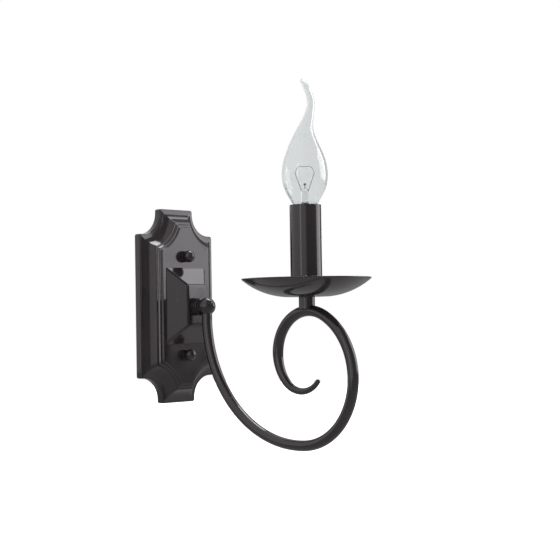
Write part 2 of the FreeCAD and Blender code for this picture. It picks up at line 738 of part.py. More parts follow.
def build_lampholder():
    """The bracket on the nipple, the holder body on it, and the live parts inside."""
    leg_out = "%s - bracket_reach - bracket_thick" % AXIS_OUT
    base = rod("bracket_base", "bracket_base_diameter / 2", "bracket_thick",
               out=AXIS_OUT, up=BRACKET_FOOT)
    lug = block("bracket_lug", "bracket_width", "bracket_reach + bracket_thick", "bracket_thick",
                out=leg_out, up=BRACKET_FOOT)
    leg = block("bracket_leg", "bracket_width", "bracket_thick",
                "%s + bracket_overlap - %s" % (HOLDER_FOOT, BRACKET_FOOT),
                out=leg_out, up=BRACKET_FOOT)
    nipple_hole = rod("bracket_nipple_hole", "nipple_diameter / 2", "bracket_thick",
                      out=AXIS_OUT, up=BRACKET_FOOT)
    screw_level = "%s + holder_floor / 2" % HOLDER_FOOT
    screw_hole = rod("bracket_screw_hole", "holder_screw_diameter / 2", "bracket_thick", OUTWARDS,
                     out=leg_out, up=screw_level)
    node("holder_bracket", cut("holder_bracket", joined("bracket_form", base, lug, leg),
                               nipple_hole, screw_hole))
    node("bracket_nut", hex_nut("bracket_nut", "lock_nut_flats", "bracket_nut_thick",
                                "nipple_diameter / 2", UPWARDS, out=AXIS_OUT,
                                up="%s + bracket_thick" % BRACKET_FOOT))

    body, flange = "holder_diameter / 2", "holder_flange_diameter / 2"
    well = "cap_diameter / 2 + screw_play + shell_wall"
    turning = turned("holder_turning", [
        ("0", "0"), (body, "0"), (body, "holder_length - holder_flange_length"),
        (flange, "holder_length - holder_flange_length"), (flange, "holder_length"),
        (well, "holder_length"), (well, "holder_floor"), ("0", "holder_floor")],
        out=AXIS_OUT, up=HOLDER_FOOT)
    groove = block("holder_groove", "bracket_width", body, "bracket_overlap",
                   out="%s - bracket_reach - %s" % (AXIS_OUT, body), up=HOLDER_FOOT)
    screw_well = rod("holder_screw_well", "holder_screw_diameter / 2", "holder_screw_depth",
                     OUTWARDS, out="%s - bracket_reach" % AXIS_OUT, up=screw_level)
    terminal_out = "%s + terminal_screw_out - terminal_screw_length" % AXIS_OUT
    wells = [rod("terminal_well_%s" % side, "terminal_screw_diameter / 2", body, OUTWARDS,
                 x="%s * terminal_screw_spacing / 2" % sign, out=terminal_out, up=screw_level)
             for side, sign in (("left", "-1"), ("right", "1"))]
    node("holder_body", cut("holder_body", turning, groove, screw_well, *wells))

    head, shank = "holder_screw_head / 2", "holder_screw_diameter / 2"
    tip = "holder_screw_head_thick + bracket_thick + holder_screw_depth"
    node("holder_screw", turned("holder_screw", [
        ("0", "0"), (head, "0"), (head, "holder_screw_head_thick"),
        (shank, "holder_screw_head_thick"), (shank, tip), ("0", tip)], OUTWARDS,
        out="%s - holder_screw_head_thick" % leg_out, up=screw_level))
    screw = turned("terminal_screw", [
        ("0", "0"), ("terminal_screw_diameter / 2", "0"),
        ("terminal_screw_diameter / 2", "terminal_screw_length"), ("0", "terminal_screw_length")],
        OUTWARDS, x="terminal_screw_spacing / 2", out=terminal_out, up=screw_level)
    node("holder_terminal_screws", mirrored_pair("holder_terminal_screws", screw, Vector(1, 0, 0)))

    shell_foot = "%s + holder_floor + shell_floor_gap" % HOLDER_FOOT
    node("socket_shell", tube("socket_shell", well, "cap_diameter / 2 + screw_play",
                              "%s - shell_floor_gap - (%s)" % (HOLDER_TOP, shell_foot),
                              out=AXIS_OUT, up=shell_foot))
    blade = "contact_diameter / 2"
    rise = "%s - bulb_contact_height - seat_gap - (%s + holder_floor)" % (CONTACT_TOP, HOLDER_FOOT)
    node("socket_contact", turned("socket_contact", [
        ("0", "0"), (blade, "0"), (blade, "contact_thick"),
        ("%s / 2" % blade, "contact_thick"), ("%s / 3" % blade, rise), ("0", rise)],
        out=AXIS_OUT, up="%s + holder_floor" % HOLDER_FOOT))


# ---------------------------------------------------------------- bulb
# The blown envelope, from its neck to the bent tip: shares of its length above the cap,
# of its largest radius, and of the tail's bow to one side.
ENVELOPE = (
    (0.090, 0.640, 0.00),
    (0.150, 0.833, 0.00),
    (0.208, 0.955, 0.00),
    (0.266, 1.000, 0.00),
    (0.328, 0.981, 0.00),
    (0.390, 0.910, 0.00),
    (0.450, 0.786, 0.00),
    (0.510, 0.643, -0.05),
    (0.570, 0.486, 0.00),
    (0.630, 0.351, 0.16),
    (0.690, 0.255, 0.50),
    (0.750, 0.193, 0.81),
    (0.815, 0.167, 1.00),
    (0.870, 0.166, 0.87),
    (0.920, 0.157, 0.54),
    (0.965, 0.145, 0.16),
)


def envelope(inset):
    """The blown form, one inset inside its outer face, as a loft through level rings."""
    neck = value("glass_neck_diameter / 2") - inset
    length, radius = value("bulb_length"), value("bulb_diameter / 2")
    bow = value("tail_bow")
    rings = [Part.Wire(Part.makeCircle(neck, Vector(0, 0, -value("glass_neck_sink")))),
             Part.Wire(Part.makeCircle(neck, Vector(0, 0, 0)))]
    for rise, width, side in ENVELOPE:
        centre = Vector(side * bow, 0, rise * length)
        rings.append(Part.Wire(Part.makeCircle(radius * width - inset, centre)))
    return Part.makeLoft(rings, True, False)


def on_candle(name, shape, up):
    """A shape of the bulb's own frame, set on the candle's axis and turned with the bulb."""
    thing = doc.addObject("Part::Feature", name)
    thing.Shape = shape
    thing.Placement = FreeCAD.Placement(
        Vector(0, -value(AXIS_OUT), value(up)),
        FreeCAD.Rotation(Vector(0, 0, 1), value("bulb_facing_angle")))
    return thing


def build_bulb():
    """Screw cap, insulator and contact below; glass, stem, leads and filament above."""
    radius, wall = "cap_diameter / 2", "cap_wall"
    foot = "cap_insulator_diameter / 2"
    inside = "%s - %s" % (radius, wall)
    node("bulb_cap", turned("bulb_cap", [
        (foot, "0"), (radius, "cap_taper"), (radius, "cap_length"), (inside, "cap_length"),
        (inside, "cap_taper + %s" % wall), (foot, wall)], out=AXIS_OUT, up=CAP_FOOT))
    eyelet = "bulb_contact_diameter / 2"
    node("bulb_insulator", turned("bulb_insulator", [
        ("0", "0"), (eyelet, "0"), (foot, "cap_insulator_length"),
        (foot, "cap_insulator_length + %s" % wall), ("0", "cap_insulator_length + %s" % wall)],
        out=AXIS_OUT, up=CONTACT_TOP))
    dome = "((%s) ^ 2 + bulb_contact_height ^ 2) / (2 * bulb_contact_height)" % eyelet
    node("bulb_contact", turned("bulb_contact", [
        ("0", "0", dome, 1), (eyelet, "bulb_contact_height"), ("0", "bulb_contact_height")],
        out=AXIS_OUT, up="%s - bulb_contact_height" % CONTACT_TOP))

    thick = value("glass_wall")
    last_rise, last_width, last_side = ENVELOPE[-1]
    tip_radius = value("bulb_diameter / 2") * last_width
    tip_centre = Vector(last_side * value("tail_bow"), 0, last_rise * value("bulb_length"))
    glass = envelope(0).fuse(tail_tip(tip_centre, tip_radius)).removeSplitter()
    node("bulb_glass", on_candle("bulb_glass", glass.cut(envelope(thick)).Solids[0], CAP_TOP))

    foot, pillar = "glass_neck_diameter / 2", "stem_diameter / 2"
    flare = "%s - glass_wall - stem_play" % foot
    stem = turned("bulb_stem", [
        ("0", "0"), (foot, "0"), (foot, "stem_foot_thick"), (flare, "stem_foot_thick"),
        (pillar, "stem_flare_length"), (pillar, "stem_length - %s" % pillar, pillar, 1),
        ("0", "stem_length")], out=AXIS_OUT, up="%s - glass_neck_sink - stem_foot_thick" % CAP_TOP)
    node("bulb_stem", stem)
    build_bulb_wires(stem)


def tail_tip(centre, radius):
    """The sealed-off end of the tail: a short cone that leans back, with a round point."""
    point = radius * value("tip_share")
    lean = Vector(-value("tail_curl"), 0, value("bulb_length") - centre.z - point)
    rings = [Part.Wire(Part.makeCircle(radius, centre)),
             Part.Wire(Part.makeCircle(point, centre + lean))]
    return Part.makeLoft(rings, True, True).fuse(Part.makeSphere(point, centre + lean))


def build_bulb_wires(stem):
    """Two leads that splay from the stem's end, and the filament looped between their tips."""
    base = value("stem_length - glass_neck_sink - stem_foot_thick - stem_diameter / 2")
    foot, spread = value("lead_foot_spread / 2"), value("lead_spread")
    top = base + value("lead_rise")
    radius = value("lead_diameter / 2")
    leads = []
    for side in (-1, 1):
        start, end = Vector(side * foot, 0, base), Vector(side * spread, 0, top)
        leads.append(bar_along([Part.LineSegment(start, end).toShape()], radius))
    lead_bars = on_candle("bulb_lead_bars", Part.makeCompound(leads), CAP_TOP)
    node("bulb_leads", cut("bulb_leads", lead_bars, stem))
    crown, high = value("filament_crown / 2"), top + value("filament_rise")
    shoulder = (spread + crown) / 2, top + 0.7 * value("filament_rise")
    arch = Part.BSplineCurve()
    arch.interpolate([Vector(x, 0, z) for x, z in (
        (-spread, top), (-shoulder[0], shoulder[1]), (-crown, high), (0, high), (crown, high),
        shoulder, (spread, top))])
    loop = on_candle("bulb_filament_bar",
                     bar_along([arch.toShape()], value("filament_diameter / 2")), CAP_TOP)
    node("bulb_filament", cut("bulb_filament", loop, lead_bars))


# ---------------------------------------------------------------- wiring
def wire_shape(side):
    """One insulated wire, from the terminal block through the hub and the arm to the holder."""
    x = side * value("wire_spacing / 2")
    pole = side * value("terminal_pitch / 2")
    out = value("strap_thick + terminal_depth / 2")
    start_up = -value("terminal_top_drop + wire_entry")
    sway = value("wire_sway_radius")
    swing = math.degrees(math.acos(1 - abs(pole - x) / (2 * sway)))
    rise = 2 * sway * math.sin(math.radians(swing))
    entry = Part.LineSegment(Vector(pole, -out, start_up),
                             Vector(pole, -out, start_up + value("wire_entry"))).toShape()
    bottom = start_up + value("wire_entry")

    def sway_point(share):
        """A point of the two equal arcs that bring the wire from its pole to its place."""
        half = share if share <= 0.5 else 1 - share
        angle = math.radians(swing * 2 * half)
        over, climb = sway * (1 - math.cos(angle)), sway * math.sin(angle)
        if share > 0.5:
            over, climb = abs(pole - x) - over, rise - climb
        return Vector(pole - side * over, -out, bottom + climb)
    lower = Part.Arc(*[sway_point(share) for share in (0, 0.25, 0.5)]).toShape()
    upper = Part.Arc(*[sway_point(share) for share in (0.5, 0.75, 1)]).toShape()

    plate_bend, hub_bend, neck_bend = (value("wire_plate_bend"), value("wire_hub_bend"),
                                       value("wire_neck_bend"))
    level = -value("hub_drop")
    hub_out = value("hub_ball_out")
    sweep = sweep_moves()
    curl = value("curl_radius")
    leave = 180 - math.degrees(math.asin((neck_bend - value("candle_setback")) / (curl + neck_bend)))
    heading = value("sweep_angle + ring_angle") - 90
    moves = [
        (level - plate_bend - bottom - rise,),
        (plate_bend, -90),
        (hub_out - hub_bend - out - plate_bend,),
        (hub_bend, -90),
        (value("arm_drop") + level - hub_bend,),
        sweep[1],
        sweep[2],
        (curl, leave - heading),
        (neck_bend, 90 - leave),
    ]
    edges, point, heading = route((x, out, bottom + rise), 90, moves)
    last, _, _ = straight(point, heading, value(HOLDER_FOOT) - point[2])
    path = [entry, lower, upper] + edges + [last]
    return bar_along(path, value("wire_diameter / 2")), sum(edge.Length for edge in path)


def build_wiring():
    """The two wires, and the terminal block on the strap that they start from."""
    for name, side in (("live_wire", -1), ("neutral_wire", 1)):
        wire = doc.addObject("Part::Feature", name)
        wire.Shape, length = wire_shape(side)
        node(name, wire)
        section = math.pi * value("wire_diameter / 2") ** 2
        print("%s is %.0f mm long, volume %.4f of section times length"
              % (name, length, wire.Shape.Volume / (section * length)))

    middle = "strap_thick + terminal_depth / 2"
    front = "strap_thick + terminal_depth"
    foot = "-terminal_top_drop - terminal_height"
    housing = block("terminal_housing", "terminal_width", "terminal_depth", "terminal_height",
                    out="strap_thick", up=foot)
    holes = [rod("terminal_fixing_hole", "fixing_screw_diameter / 2", "terminal_depth",
                 OUTWARDS, out="strap_thick", up=FIXING_UP)]
    tubes = []
    screws = []
    for side, sign in (("left", "-1"), ("right", "1")):
        x = "%s * terminal_pitch / 2" % sign
        holes.append(rod("terminal_bore_%s" % side, "terminal_bore / 2", "terminal_height",
                         x=x, out=middle, up=foot))
        sleeve = tube("terminal_sleeve_%s" % side, "terminal_bore / 2",
                      "wire_diameter / 2 + terminal_play", "terminal_height - 2 * terminal_inset",
                      x=x, out=middle, up="%s + terminal_inset" % foot)
        pole_holes = []
        for row, share in (("upper", "1 / 4"), ("lower", "3 / 4")):
            level = "-terminal_top_drop - terminal_height * %s" % share
            pole = "%s_%s" % (side, row)
            pole_holes.append(rod("pole_hole_" + pole, "pole_screw_diameter / 2",
                                  "terminal_depth / 2", OUTWARDS, x=x, out=middle, up=level))
            screws.append(rod("pole_screw_" + pole, "pole_screw_diameter / 2",
                              "terminal_depth / 2 - wire_diameter / 2 + pole_screw_proud",
                              OUTWARDS, x=x, out="%s + wire_diameter / 2" % middle, up=level))
        holes += pole_holes
        tubes.append(cut("terminal_tube_" + side, sleeve, *pole_holes))
    node("terminal_block", cut("terminal_block", housing, *holes))
    node("terminal_tubes", gathered("terminal_tubes", tubes))
    node("terminal_pole_screws", gathered("terminal_pole_screws", screws))
    shank, head = "fixing_screw_diameter / 2", "fixing_screw_head / 2"
    node("terminal_fixing_screw", turned("terminal_fixing_screw", [
        ("0", "-(%s)" % front), (shank, "-(%s)" % front), (shank, "0"), (head, "0"),
        (head, "fixing_screw_head_thick"), ("0", "fixing_screw_head_thick")],
        OUTWARDS, out=front, up=FIXING_UP))


# ---------------------------------------------------------------- build, check and write
def check_and_write():
    """Recompute, refuse any failed object or unsound shape, and write one file a node."""
    doc.recompute()
    failed = [item.Name for item in doc.Objects if {"Invalid", "Error"} & set(item.State)]
    if failed:
        raise RuntimeError("objects that failed: " + ", ".join(failed))
    os.makedirs("parts", exist_ok=True)
    for thing in nodes:
        shape = thing.Shape
        if shape.isNull() or not shape.isValid() or not shape.Solids:
            raise RuntimeError("unsound shape: " + thing.Label)
        shape.exportStep(os.path.join("parts", thing.Label + ".step"))
        box = shape.BoundBox
        print("%-24s %d solids %9.1f mm3  x %7.2f %7.2f  y %8.2f %8.2f  z %7.2f %7.2f" % (
            thing.Label, len(shape.Solids), shape.Volume,
            box.XMin, box.XMax, box.YMin, box.YMax, box.ZMin, box.ZMax))
    print("%d nodes" % len(nodes))


build_backplate()
build_strap()
build_studs()
build_hub()
build_candle(build_arm())
build_lampholder()
build_bulb()
build_wiring()
check_and_write()
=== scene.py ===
"""Looks of the torch sconce: enamelled plate, scrolled arm, drip dish, candle and clear bulb.

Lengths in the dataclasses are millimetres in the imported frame: +X right, +Z up, the wall at
Y = 0 and the lamp towards -Y.  "out" is a distance from the wall.  Meshes are in metres.
"""
from __future__ import annotations

import logging
import math
from dataclasses import dataclass
from enum import Enum
from typing import Sequence

import bmesh
import bpy
import numpy as np
from mathutils import Matrix, Vector

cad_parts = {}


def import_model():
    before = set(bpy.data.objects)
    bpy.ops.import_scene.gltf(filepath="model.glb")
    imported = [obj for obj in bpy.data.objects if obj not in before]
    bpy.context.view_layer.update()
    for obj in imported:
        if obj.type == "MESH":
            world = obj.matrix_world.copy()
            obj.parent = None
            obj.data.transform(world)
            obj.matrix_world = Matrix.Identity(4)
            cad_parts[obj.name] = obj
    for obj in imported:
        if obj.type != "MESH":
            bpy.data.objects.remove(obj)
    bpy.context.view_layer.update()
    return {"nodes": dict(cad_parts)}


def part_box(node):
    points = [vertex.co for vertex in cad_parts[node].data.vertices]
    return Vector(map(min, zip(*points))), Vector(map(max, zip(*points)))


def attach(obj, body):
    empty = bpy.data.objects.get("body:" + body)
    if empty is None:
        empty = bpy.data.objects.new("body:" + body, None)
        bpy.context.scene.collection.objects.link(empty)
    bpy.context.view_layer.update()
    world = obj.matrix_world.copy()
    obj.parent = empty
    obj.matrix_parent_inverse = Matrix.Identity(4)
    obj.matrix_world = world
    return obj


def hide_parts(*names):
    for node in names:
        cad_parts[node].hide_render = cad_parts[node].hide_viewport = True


LOG = logging.getLogger("torch_sconce")
MM = 0.001
SIDES = 96  # points in a plain turned ring
SPAN_SHARE = 0.3  # the most of a span that a rounding takes
GUARD_CUTS = 1.5  # how many cuts from its corner a guard point lies
CAP_RINGS = 8  # rings in the half sphere that closes a bar
WELD = 1e-6  # metres within which two points are one
CAP_NUT_UP = 41.0  # how far the cap nuts stand above and below the middle


class Facing(Enum):
    """Which way the axis of a turned piece points."""

    UP = "up"
    OUT = "out"


# ------------------------------------------------------------------ surfaces
def softened(stations: np.ndarray, cuts: Sequence[float], steps: int = 5) -> np.ndarray:
    """Rounds the corners of a run of stations.

    Each inner corner P between its neighbours A and B becomes the parabola
    (1-t)^2 S + 2t(1-t) P + t^2 E, where S and E lie one cut from P towards A and B.
    A point half a cut further out on each side keeps the flats beside it flat.

    Args:
        stations: Corner points, with shape (rows, columns, 3) or (rows, 2).
        cuts: How far from each corner its rounding starts, 0 for a sharp one.
        steps: Spans in each rounding.

    Returns:
        The points of the softened run, with the same trailing shape.
    """
    share = np.linspace(0.0, 1.0, steps + 1)
    rows = [stations[0]]
    for index in range(1, len(stations) - 1):
        corner = stations[index]
        if cuts[index] <= 0:
            rows.append(corner)
            continue
        before, after = stations[index - 1] - corner, stations[index + 1] - corner
        reach_before = np.linalg.norm(before, axis=-1, keepdims=True)
        reach_after = np.linalg.norm(after, axis=-1, keepdims=True)
        cut = np.minimum(cuts[index], SPAN_SHARE * np.minimum(reach_before, reach_after))
        start = corner + before / reach_before * cut
        end = corner + after / reach_after * cut
        rows.append(corner + before / reach_before * cut * GUARD_CUTS)
        rows.extend((1 - t) ** 2 * start + 2 * t * (1 - t) * corner + t * t * end for t in share)
        rows.append(corner + after / reach_after * cut * GUARD_CUTS)
    rows.append(stations[-1])
    return np.array(rows)


def smooth_between(knots: np.ndarray, values: np.ndarray, at: np.ndarray) -> np.ndarray:
    """Cubic Hermite curve through (knots, values), with slopes from their neighbours.

    Args:
        knots: Increasing positions of the known values.
        values: The known values.
        at: Where to read the curve.

    Returns:
        The curve's value at each position.
    """
    slopes = np.gradient(values, knots)
    span = np.clip(np.searchsorted(knots, at, side="right") - 1, 0, len(knots) - 2)
    width = knots[span + 1] - knots[span]
    t = (at - knots[span]) / width
    first = (2 * t ** 3 - 3 * t ** 2 + 1) * values[span]
    leaving = (t ** 3 - 2 * t ** 2 + t) * width * slopes[span]
    second = (3 * t ** 2 - 2 * t ** 3) * values[span + 1]
    arriving = (t ** 3 - t ** 2) * width * slopes[span + 1]
    return first + leaving + second + arriving


def turned_grid(profile: np.ndarray, centre: Sequence[float], facing: Facing, sides: int) -> np.ndarray:
    """Carries a profile of (radius, height) round an axis.

    Point (i, j) is the centre plus height_i along the axis plus radius_i at the angle
    2*pi*j/sides across it.

    Args:
        profile: Radii and heights, with shape (rows, 2).
        centre: (x, out, up) of the axis where the height is 0.
        facing: The axis's direction.
        sides: Points in each ring.

    Returns:
        A grid of points with shape (rows, sides, 3), in millimetres.
    """
    angle = np.linspace(0.0, 2 * np.pi, sides, endpoint=False)
    across = profile[:, :1] * np.cos(angle)
    beside = profile[:, :1] * np.sin(angle)
    along = np.repeat(profile[:, 1:], sides, axis=1)
    x, out, up = centre
    if facing is Facing.UP:
        return np.stack([x + across, beside - out, up + along], axis=-1)
    return np.stack([x + across, -out - along, up + beside], axis=-1)


def new_object(name: str, data: bpy.types.ID) -> bpy.types.Object:
    """Makes an object of a mesh, a lamp or a camera, in the scene."""
    made = bpy.data.objects.new(name, data)
    bpy.context.scene.collection.objects.link(made)
    return made


def grid_piece(name: str, points: np.ndarray, ring: bool = False) -> bpy.types.Object:
    """Makes a closed piece from a grid whose columns go all the way round.

    Quad (i, j) joins points (i, j), (i, j+1), (i+1, j+1) and (i+1, j).  Rows of equal points
    close into poles, and the faces are turned outwards.

    Args:
        name: The piece's name.
        points: A grid with shape (rows, columns, 3), in millimetres.
        ring: Whether the last row also joins the first.

    Returns:
        The new object, at the origin, smooth shaded.
    """
    rows, columns = points.shape[:2]
    row = np.arange(rows if ring else rows - 1)[:, None]
    column = np.arange(columns)[None, :]
    below, beside = (row + 1) % rows, (column + 1) % columns
    quads = np.stack([row * columns + column, row * columns + beside,
                      below * columns + beside, below * columns + column], axis=-1)
    mesh = bpy.data.meshes.new(name)
    mesh.from_pydata((points.reshape(-1, 3) * MM).tolist(), [], quads.reshape(-1, 4).tolist())
    shape = bmesh.new()
    shape.from_mesh(mesh)
    bmesh.ops.remove_doubles(shape, verts=shape.verts, dist=WELD)
    bmesh.ops.recalc_face_normals(shape, faces=shape.faces)
    for face in shape.faces:
        face.smooth = True
    shape.to_mesh(mesh)
    shape.free()
    return new_object(name, mesh)


def turned_piece(name: str, corners: Sequence[tuple[float, float, float]], centre: Sequence[float],
                 facing: Facing = Facing.UP, sides: int = SIDES, ring: bool = False) -> bpy.types.Object:
    """Makes a lathe-turned piece from corners of (radius, height, cut).

    Args:
        name: The piece's name.
        corners: The profile's corners, each with how far its rounding reaches.
        centre: (x, out, up) of the axis where the height is 0.
        facing: The axis's direction.
        sides: Points in each ring.
        ring: Whether the profile closes on itself round a bore.

    Returns:
        The new object.
    """
    table = np.array(corners, float)
    profile = softened(table[:, :2], table[:, 2])
    return grid_piece(name, turned_grid(profile, centre, facing, sides), ring)


def arc(centre: tuple[float, float], radius: float, start: float, end: float, steps: int) -> np.ndarray:
    """Points at even angles on a circle, centre + radius (cos a, sin a), from start to end degrees."""
    angle = np.radians(np.linspace(start, end, steps + 1))
    return np.stack([centre[0] + radius * np.cos(angle), centre[1] + radius * np.sin(angle)], axis=-1)


def bar_piece(name: str, line: np.ndarray, radii: np.ndarray, side: np.ndarray,
              sides: int = 40) -> bpy.types.Object:
    """Carries a circle along a flat line and closes both ends with half spheres.

    A ring is the line's point + radius (cos a * side + sin a * cross), where cross is the
    line's direction x side.  Each end adds rings of radius r cos b, r sin b beyond it.

    Args:
        name: The piece's name.
        line: Centre points, with shape (rows, 3).
        radii: The circle's radius at each point.
        side: A unit vector square to the line's plane.
        sides: Points in each ring.

    Returns:
        The new object.
    """
    along = np.gradient(line, axis=0)
    along /= np.linalg.norm(along, axis=1, keepdims=True)
    cap = np.radians(np.linspace(90.0, 0.0, CAP_RINGS, endpoint=False))
    first = line[0] - along[0] * (radii[0] * np.sin(cap))[:, None]
    last = (line[-1] + along[-1] * (radii[-1] * np.sin(cap))[:, None])[::-1]
    centres = np.concatenate([first, line, last])
    sizes = np.concatenate([radii[0] * np.cos(cap), radii, (radii[-1] * np.cos(cap))[::-1]])
    first_ways, last_ways = (np.repeat(way, CAP_RINGS, axis=0) for way in (along[:1], along[-1:]))
    cross = np.cross(np.concatenate([first_ways, along, last_ways]), side)
    angle = np.linspace(0.0, 2 * np.pi, sides, endpoint=False)[None, :, None]
    spokes = np.cos(angle) * side + np.sin(angle) * cross[:, None]
    return grid_piece(name, centres[:, None] + sizes[:, None, None] * spokes)


def place_piece(piece: bpy.types.Object, body: str, nodes: Sequence[str], finish: Finish) -> None:
    """Gives a new piece its body, the CAD nodes it stands for if any and its material."""
    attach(piece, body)
    if nodes:
        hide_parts(*nodes)
    piece.data.materials.clear()
    piece.data.materials.append(finish.material())
    LOG.info("%s rides on %s and stands for %s", piece.name, body, ", ".join(nodes) or "nothing")


# ------------------------------------------------------------------ finishes
NOISE_DETAIL = 2.0
PATCH_RANGE = (0.3, 0.7)  # the broad noise between which a patch fades in
WHITE = (1.0, 1.0, 1.0, 1.0)


def set_inputs(node: bpy.types.Node, inputs: dict[str | int, object]) -> None:
    """Gives a node's inputs their values, or links them to the sockets given for them."""
    for label, value in inputs.items():
        if isinstance(value, bpy.types.NodeSocket):
            node.id_data.links.new(value, node.inputs[label])
        else:
            node.inputs[label].default_value = value


def add_node(tree: bpy.types.NodeTree, kind: str, inputs: dict[str | int, object],
             **settings: object) -> bpy.types.bpy_prop_collection:
    """Adds a shader node.

    Args:
        tree: The tree it goes into.
        kind: Its type, without ShaderNode in front.
        inputs: For some of its inputs, a value or the socket to link.
        **settings: Its own settings, such as its operation.

    Returns:
        The new node's outputs.
    """
    node = tree.nodes.new("ShaderNode" + kind)
    for label, value in settings.items():
        setattr(node, label, value)
    set_inputs(node, inputs)
    return node.outputs


def soft_step(tree: bpy.types.NodeTree, value: bpy.types.NodeSocket,
              ends: tuple[float, float]) -> bpy.types.NodeSocket:
    """A smooth rise from 0 to 1 while the value goes from one end to the other."""
    inputs = {"Value": value, "From Min": ends[0], "From Max": ends[1]}
    return add_node(tree, "MapRange", inputs, interpolation_type="SMOOTHSTEP")["Result"]


def mixed(tree: bpy.types.NodeTree, share: bpy.types.NodeSocket, first: object, second: object,
          kind: str = "FLOAT") -> bpy.types.NodeSocket:
    """First where the share is 0 and second where it is 1, as numbers or as RGBA colours."""
    return add_node(tree, "Mix", {"Factor": share, "A": first, "B": second}, data_type=kind)["Result"]


def surface_unevenness() -> bpy.types.NodeTree:
    """Fine peel, broad waviness and patchy gloss of a sprayed or plated skin, made once.

    Returns:
        The group: Height mixes fine and broad noise, Patch is a soft mask from 0 to 1.
    """
    known = bpy.data.node_groups.get("surface_unevenness")
    if known is not None:
        return known
    group = bpy.data.node_groups.new("surface_unevenness", "ShaderNodeTree")
    for label, default in (("Fine Scale", 900.0), ("Broad Scale", 45.0), ("Fine Share", 0.3)):
        socket = group.interface.new_socket(name=label, in_out="INPUT", socket_type="NodeSocketFloat")
        socket.default_value = default
    for label in ("Height", "Patch"):
        group.interface.new_socket(name=label, in_out="OUTPUT", socket_type="NodeSocketFloat")
    source, sink = group.nodes.new("NodeGroupInput").outputs, group.nodes.new("NodeGroupOutput")
    where = add_node(group, "TexCoord", {})["Object"]
    fine, broad = (add_node(group, "TexNoise", {
        "Detail": NOISE_DETAIL, "Vector": where, "Scale": source[label]})["Fac"]
        for label in ("Fine Scale", "Broad Scale"))
    set_inputs(sink, {"Height": mixed(group, source["Fine Share"], broad, fine),
                      "Patch": soft_step(group, broad, PATCH_RANGE)})
    return group


@dataclass(frozen=True)
class Finish:
    """One finish: colours, gloss and the unevenness of its skin.

    Soft patches take the colour from dark to light and the roughness from gloss_low to
    gloss_high.  clear is the share of light let through, and edge the share of white that
    a clear wall keeps at its outline: a painted shade that darkens the colour where the
    surface turns from view, fading in from edge_start.
    """

    name: str
    slot: str
    light: tuple[float, float, float]
    dark: tuple[float, float, float]
    metallic: float = 0.0
    gloss_low: float = 0.2
    gloss_high: float = 0.3
    coat: float = 0.0
    coat_roughness: float = 0.05
    ior: float = 1.5
    fine_scale: float = 900.0
    broad_scale: float = 45.0
    fine_share: float = 0.3
    relief: float = 0.02
    clear: float = 0.0
    edge: float = 1.0
    edge_start: float = 0.55

    def painted_outline_shade(self, tree: bpy.types.NodeTree, tint: bpy.types.NodeSocket) -> bpy.types.NodeSocket:
        """Paints shade into a colour where the surface turns away from view: a painted dark outline on a
        clear wall.

        Args:
            tree: The material's node tree.
            tint: The colour seen square on.

        Returns:
            The colour that falls to the edge's share of white at the outline.
        """
        facing = add_node(tree, "LayerWeight", {})["Facing"]
        share = soft_step(tree, facing, (self.edge_start, 1.0))
        return mixed(tree, share, tint, (self.edge, self.edge, self.edge, 1.0), "RGBA")

    def material(self) -> bpy.types.Material:
        """Builds the finish's material the first time, and returns it.

        Returns:
            The material.
        """
        known = bpy.data.materials.get(self.name)
        if known is not None:
            return known
        material = bpy.data.materials.new(self.name)
        material.use_nodes = True
        tree = material.node_tree
        uneven = add_node(tree, "Group", {
            "Fine Scale": self.fine_scale, "Broad Scale": self.broad_scale,
            "Fine Share": self.fine_share}, node_tree=surface_unevenness())
        tint = mixed(tree, uneven["Patch"], (*self.dark, 1.0), (*self.light, 1.0), "RGBA")
        # painted shade: the colour darkens towards the outline where the surface turns from view
        if self.edge < 1.0:
            tint = self.painted_outline_shade(tree, tint)
        gloss = add_node(tree, "MapRange", {
            "Value": uneven["Patch"], "To Min": self.gloss_low, "To Max": self.gloss_high})
        bump = add_node(tree, "Bump", {
            "Strength": self.relief, "Distance": MM, "Height": uneven["Height"]})
        set_inputs(tree.nodes["Principled BSDF"], {
            "Metallic": self.metallic, "Coat Weight": self.coat,
            "Coat Roughness": self.coat_roughness, "IOR": self.ior,
            "Transmission Weight": self.clear, "Base Color": tint,
            "Roughness": gloss["Result"], "Normal": bump["Normal"]})
        return material


ENAMEL = Finish("black_enamel", "enamel", (0.023, 0.018, 0.0195), (0.018, 0.0145, 0.0155),
                gloss_low=0.12, gloss_high=0.2, coat=0.3)
ZINC = Finish("zinc_plate", "zinc_steel", (0.66, 0.66, 0.64), (0.52, 0.53, 0.54), metallic=1.0,
              gloss_low=0.3, gloss_high=0.45, relief=0.05)
BRASS = Finish("turned_brass", "brass", (0.78, 0.6, 0.3), (0.62, 0.45, 0.2), metallic=1.0,
               gloss_low=0.22, gloss_high=0.4, relief=0.04)
NICKEL = Finish("bulb_cap_nickel", "nickel", (0.76, 0.74, 0.7), (0.6, 0.58, 0.55), metallic=1.0,
                gloss_low=0.15, gloss_high=0.3, relief=0.03)
WIRE_NICKEL = Finish("lead_wire_nickel", "nickel", (0.07, 0.066, 0.063), (0.045, 0.042, 0.041),
                     metallic=1.0, gloss_low=0.3, gloss_high=0.45)
# the clear glass gets a painted dark outline: its colour falls to 0.4 of white where it turns from view
GLASS = Finish("clear_bulb_glass", "clear_glass", (0.81, 0.825, 0.825), (0.8, 0.815, 0.815), clear=1.0,
               gloss_low=0.0, gloss_high=0.004, ior=1.46, relief=0.0, edge=0.4)
PHENOLIC = Finish("holder_phenolic", "holder_plastic", (0.05, 0.047, 0.045), (0.03, 0.028, 0.027),
                  gloss_low=0.4, gloss_high=0.55, relief=0.08)
BLOCK = Finish("terminal_nylon", "block_plastic", (0.85, 0.85, 0.81), (0.76, 0.76, 0.72),
               gloss_low=0.45, gloss_high=0.6, relief=0.06)
BROWN = Finish("brown_insulation", "brown_insulation", (0.24, 0.11, 0.05), (0.18, 0.08, 0.035),
               gloss_low=0.4, gloss_high=0.55)
